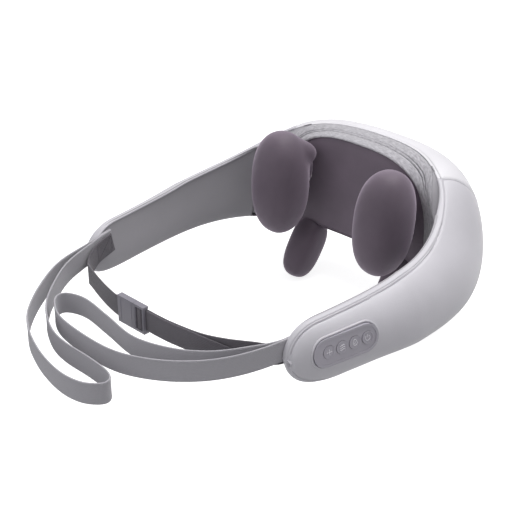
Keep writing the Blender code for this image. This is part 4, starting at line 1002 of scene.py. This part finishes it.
def elastic_straps():
    """The long strap runs from the left arm through the clip and back along itself; the short one to the socket."""
    winding = [(0.0185, 0.0021)] + round_corner((0.0093, 0.0008), 0.0013, 90, 180)
    winding += round_corner((0.0093, -0.0008), 0.0013, 180, 270) + round_corner((0.01195, -0.0008), 0.0013, 270, 360)
    winding += round_corner((0.01425, -0.0007), 0.0010, 180, 90) + [(0.0185, 0.0003)]
    threaded = [np.array([BUCKLE[0] + x, BUCKLE[1] + y]) for x, y in winding]
    main = smooth_path(LEFT_ELASTIC + [tuple(threaded[0])], 10)
    tail = []
    for before, here in zip(main, main[1:-1]):
        if here[0] < 0.083:
            square = np.array([here[1] - before[1], before[0] - here[0]]) / np.linalg.norm(here - before)
            tail.append(here + square * math.copysign(0.0018, -square[1]))
    heights = [BUCKLE[2]] * (len(main) + len(threaded) - 1)
    heights += [BUCKLE[2] - 0.007 * max(0.0, ((i + 1) / len(tail) - 0.6) / 0.4) ** 1.6 for i in range(len(tail))]
    path = [(*point, z) for point, z in zip(main[:-1] + threaded + tail[::-1], heights)]
    made, _, _ = ribbon("elastic_left", path, ELASTIC, WEBBING_WIDTH, "elastic_dark", "elastic_strap_left")
    made.parent = None
    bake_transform(made)
    end, before = np.array(path[-1]), np.array(path[-4])
    along = (end - before) / np.linalg.norm(end - before)
    low = end - along * 0.003 + np.array([0, 0, 0.0035])
    tab = [low + along * s * 0.012 + np.array([0, 0, 0.0006 * math.sin(s * 3)]) for s in np.linspace(0, 1, 12)]
    ribbon("strap_tab", tab, 0.0022, 0.0042, "elastic_dark", look="thread_light")
    right = smooth_path([(x, y, z) for (x, y), z in zip(RIGHT_ELASTIC, RIGHT_ELASTIC_Z)], 12)
    ribbon("elastic_right", right, ELASTIC, WEBBING_WIDTH, "elastic_dark", "elastic_strap_right")
    for name, side, strap in (("left", 1, path), ("right", -1, right)):
        strap = np.array(strap)
        span = strap[(np.abs(strap[:, 0]) > 0.113) & (strap[:, 1] > -0.170)]
        face = np.array([-side * 1.0, -0.12, 0.0])
        first, last = span[0] + face * 0.0008, span[-1] + face * 0.0008
        first = first + (last - first) * 0.10
        a, b, c, d = (point + np.array([0, 0, height]) for point in (first, last) for height in (-0.0080, 0.0080))
        crossed = [(np.linspace(*ends, 12), face) for ends in ((a, c), (b, d), (a, b), (c, d), (a, d), (b, c))]
        stitches("tack_stitches_" + name, crossed, "thread_dark", "elastic_dark", pitch=0.0022, length=0.0017,
                 radius=0.00022)


def buckle_details():
    """Rounds both halves of the buckle and lays upright ridges on their faces."""
    x, y, z = BUCKLE
    for half, body, offsets, out, reach, radius in (("socket", "band", (-0.0128, 0.0010), 0.00275, 0.0112, 0.00035),
                                                    ("clip", "clip", (0.0052, 0.0160), 0.0027, 0.0108, 0.0007)):
        rounded_edges("buckle_" + half, 0.0007, 3)
        for number, offset in enumerate(offsets):
            ends = [(x + offset, y - out, z + end) for end in (-reach, reach)]
            tube("%s_ridge_%d" % (half, number), ends, radius, body, "buckle_dark")


# --- build
outer_leather()
arm_linings()
knit_strip("knit_outer", 0.0, 0.437, 0.0007, 0.0012, "knit_gusset_outer")
knit_strip("knit_inner", 0.563, 1.0, 0.0007, 0.0012, "knit_gusset_inner")
knit_strip("zip_flap", 0.439, 0.561, 0.0005, 0.0008, "zip_chain", columns=10)
dark_covers()
palm_pads()
thumb_pads()
icons()
hand_loops()
elastic_straps()
buckle_details()
for cad_node, width in (("control_pod", 0.0004), ("charging_port", 0.0006), ("zip_slider", 0.0003),
                        ("zip_pull", 0.0003), ("button_plus", 0.0002), ("button_mode", 0.0002),
                        ("button_heat", 0.0002), ("button_power", 0.0002)):
    rounded_edges(cad_node, width)


# --- studio
FLOOR_Z = -0.0905
CAMERA_AT, CAMERA_AIM, CAMERA_LENS = (0.67005, -0.76135, 0.50999), (-0.6189, 0.6298, -0.4695), 83.8


def area_light(name, location, target, size, power, colour=(1, 1, 1)):
    data = bpy.data.lights.new(name, "AREA")
    data.shape = "DISK"
    data.size = size
    data.energy = power
    data.color = colour
    made = placed(name, data)
    made.location = location
    made.rotation_euler = (Vector(target) - Vector(location)).to_track_quat("-Z", "Y").to_euler()


def staged(name, shape, look, z=0.0):
    """A surface of the studio that throws no light on the object."""
    made = placed(name, released(name, shape))
    made.data.materials.append(look)
    made.location = (0, 0, z)
    made.visible_diffuse = False
    return made


def glowing(name, colour, strength):
    made, _ = new_material(name, colour, 0.9)
    inputs_of(made)["Emission Color"].default_value = (1.0, 1.0, 1.0, 1.0)
    inputs_of(made)["Emission Strength"].default_value = strength
    return made


def studio():
    shape = bmesh.new()
    bmesh.ops.create_circle(shape, cap_ends=True, segments=96, radius=7.0)
    staged("floor", shape, glowing("floor_white", (0.55, 0.55, 0.555), 0.80), FLOOR_Z)
    shape = bmesh.new()
    bmesh.ops.create_icosphere(shape, subdivisions=4, radius=8.0)
    dome = staged("backdrop", shape, glowing("backdrop_white", (0.0, 0.0, 0.0), 1.0))
    dome.visible_glossy = dome.visible_transmission = dome.visible_shadow = False
    area_light("key", (0.05, 0.40, 1.38), (0, 0, 0), 1.2, 17.5, (1.0, 0.99, 0.985))
    area_light("fill_front", (-0.4, -1.4, 0.7), (0, 0, 0), 1.4, 3.6, (0.97, 0.98, 1.0))
    area_light("side_right", (1.4, -0.5, 0.7), (0, 0, 0), 0.9, 0.6)
    world = bpy.data.worlds.new("studio")
    world.use_nodes = True
    tree = world.node_tree
    height = add(tree, "SeparateXYZ", Vector=add(tree, "TexCoord").outputs["Generated"]).outputs[2]
    glow = ramp(tree, sums(tree, "MULTIPLY_ADD", height, 0.5, 0.5), 0.3, 0.9, (0.30, 0.30, 0.31), (0.60, 0.60, 0.61))
    tree.links.new(glow, tree.nodes["Background"].inputs[0])
    scene = bpy.context.scene
    scene.world = world
    scene.view_settings.view_transform = "Standard"
    camera = placed("camera", bpy.data.cameras.new("camera"))
    camera.data.lens = CAMERA_LENS
    camera.data.clip_end = 50
    camera.location = CAMERA_AT
    camera.rotation_euler = Vector(CAMERA_AIM).to_track_quat("-Z", "Y").to_euler()
    scene.camera = camera


studio()
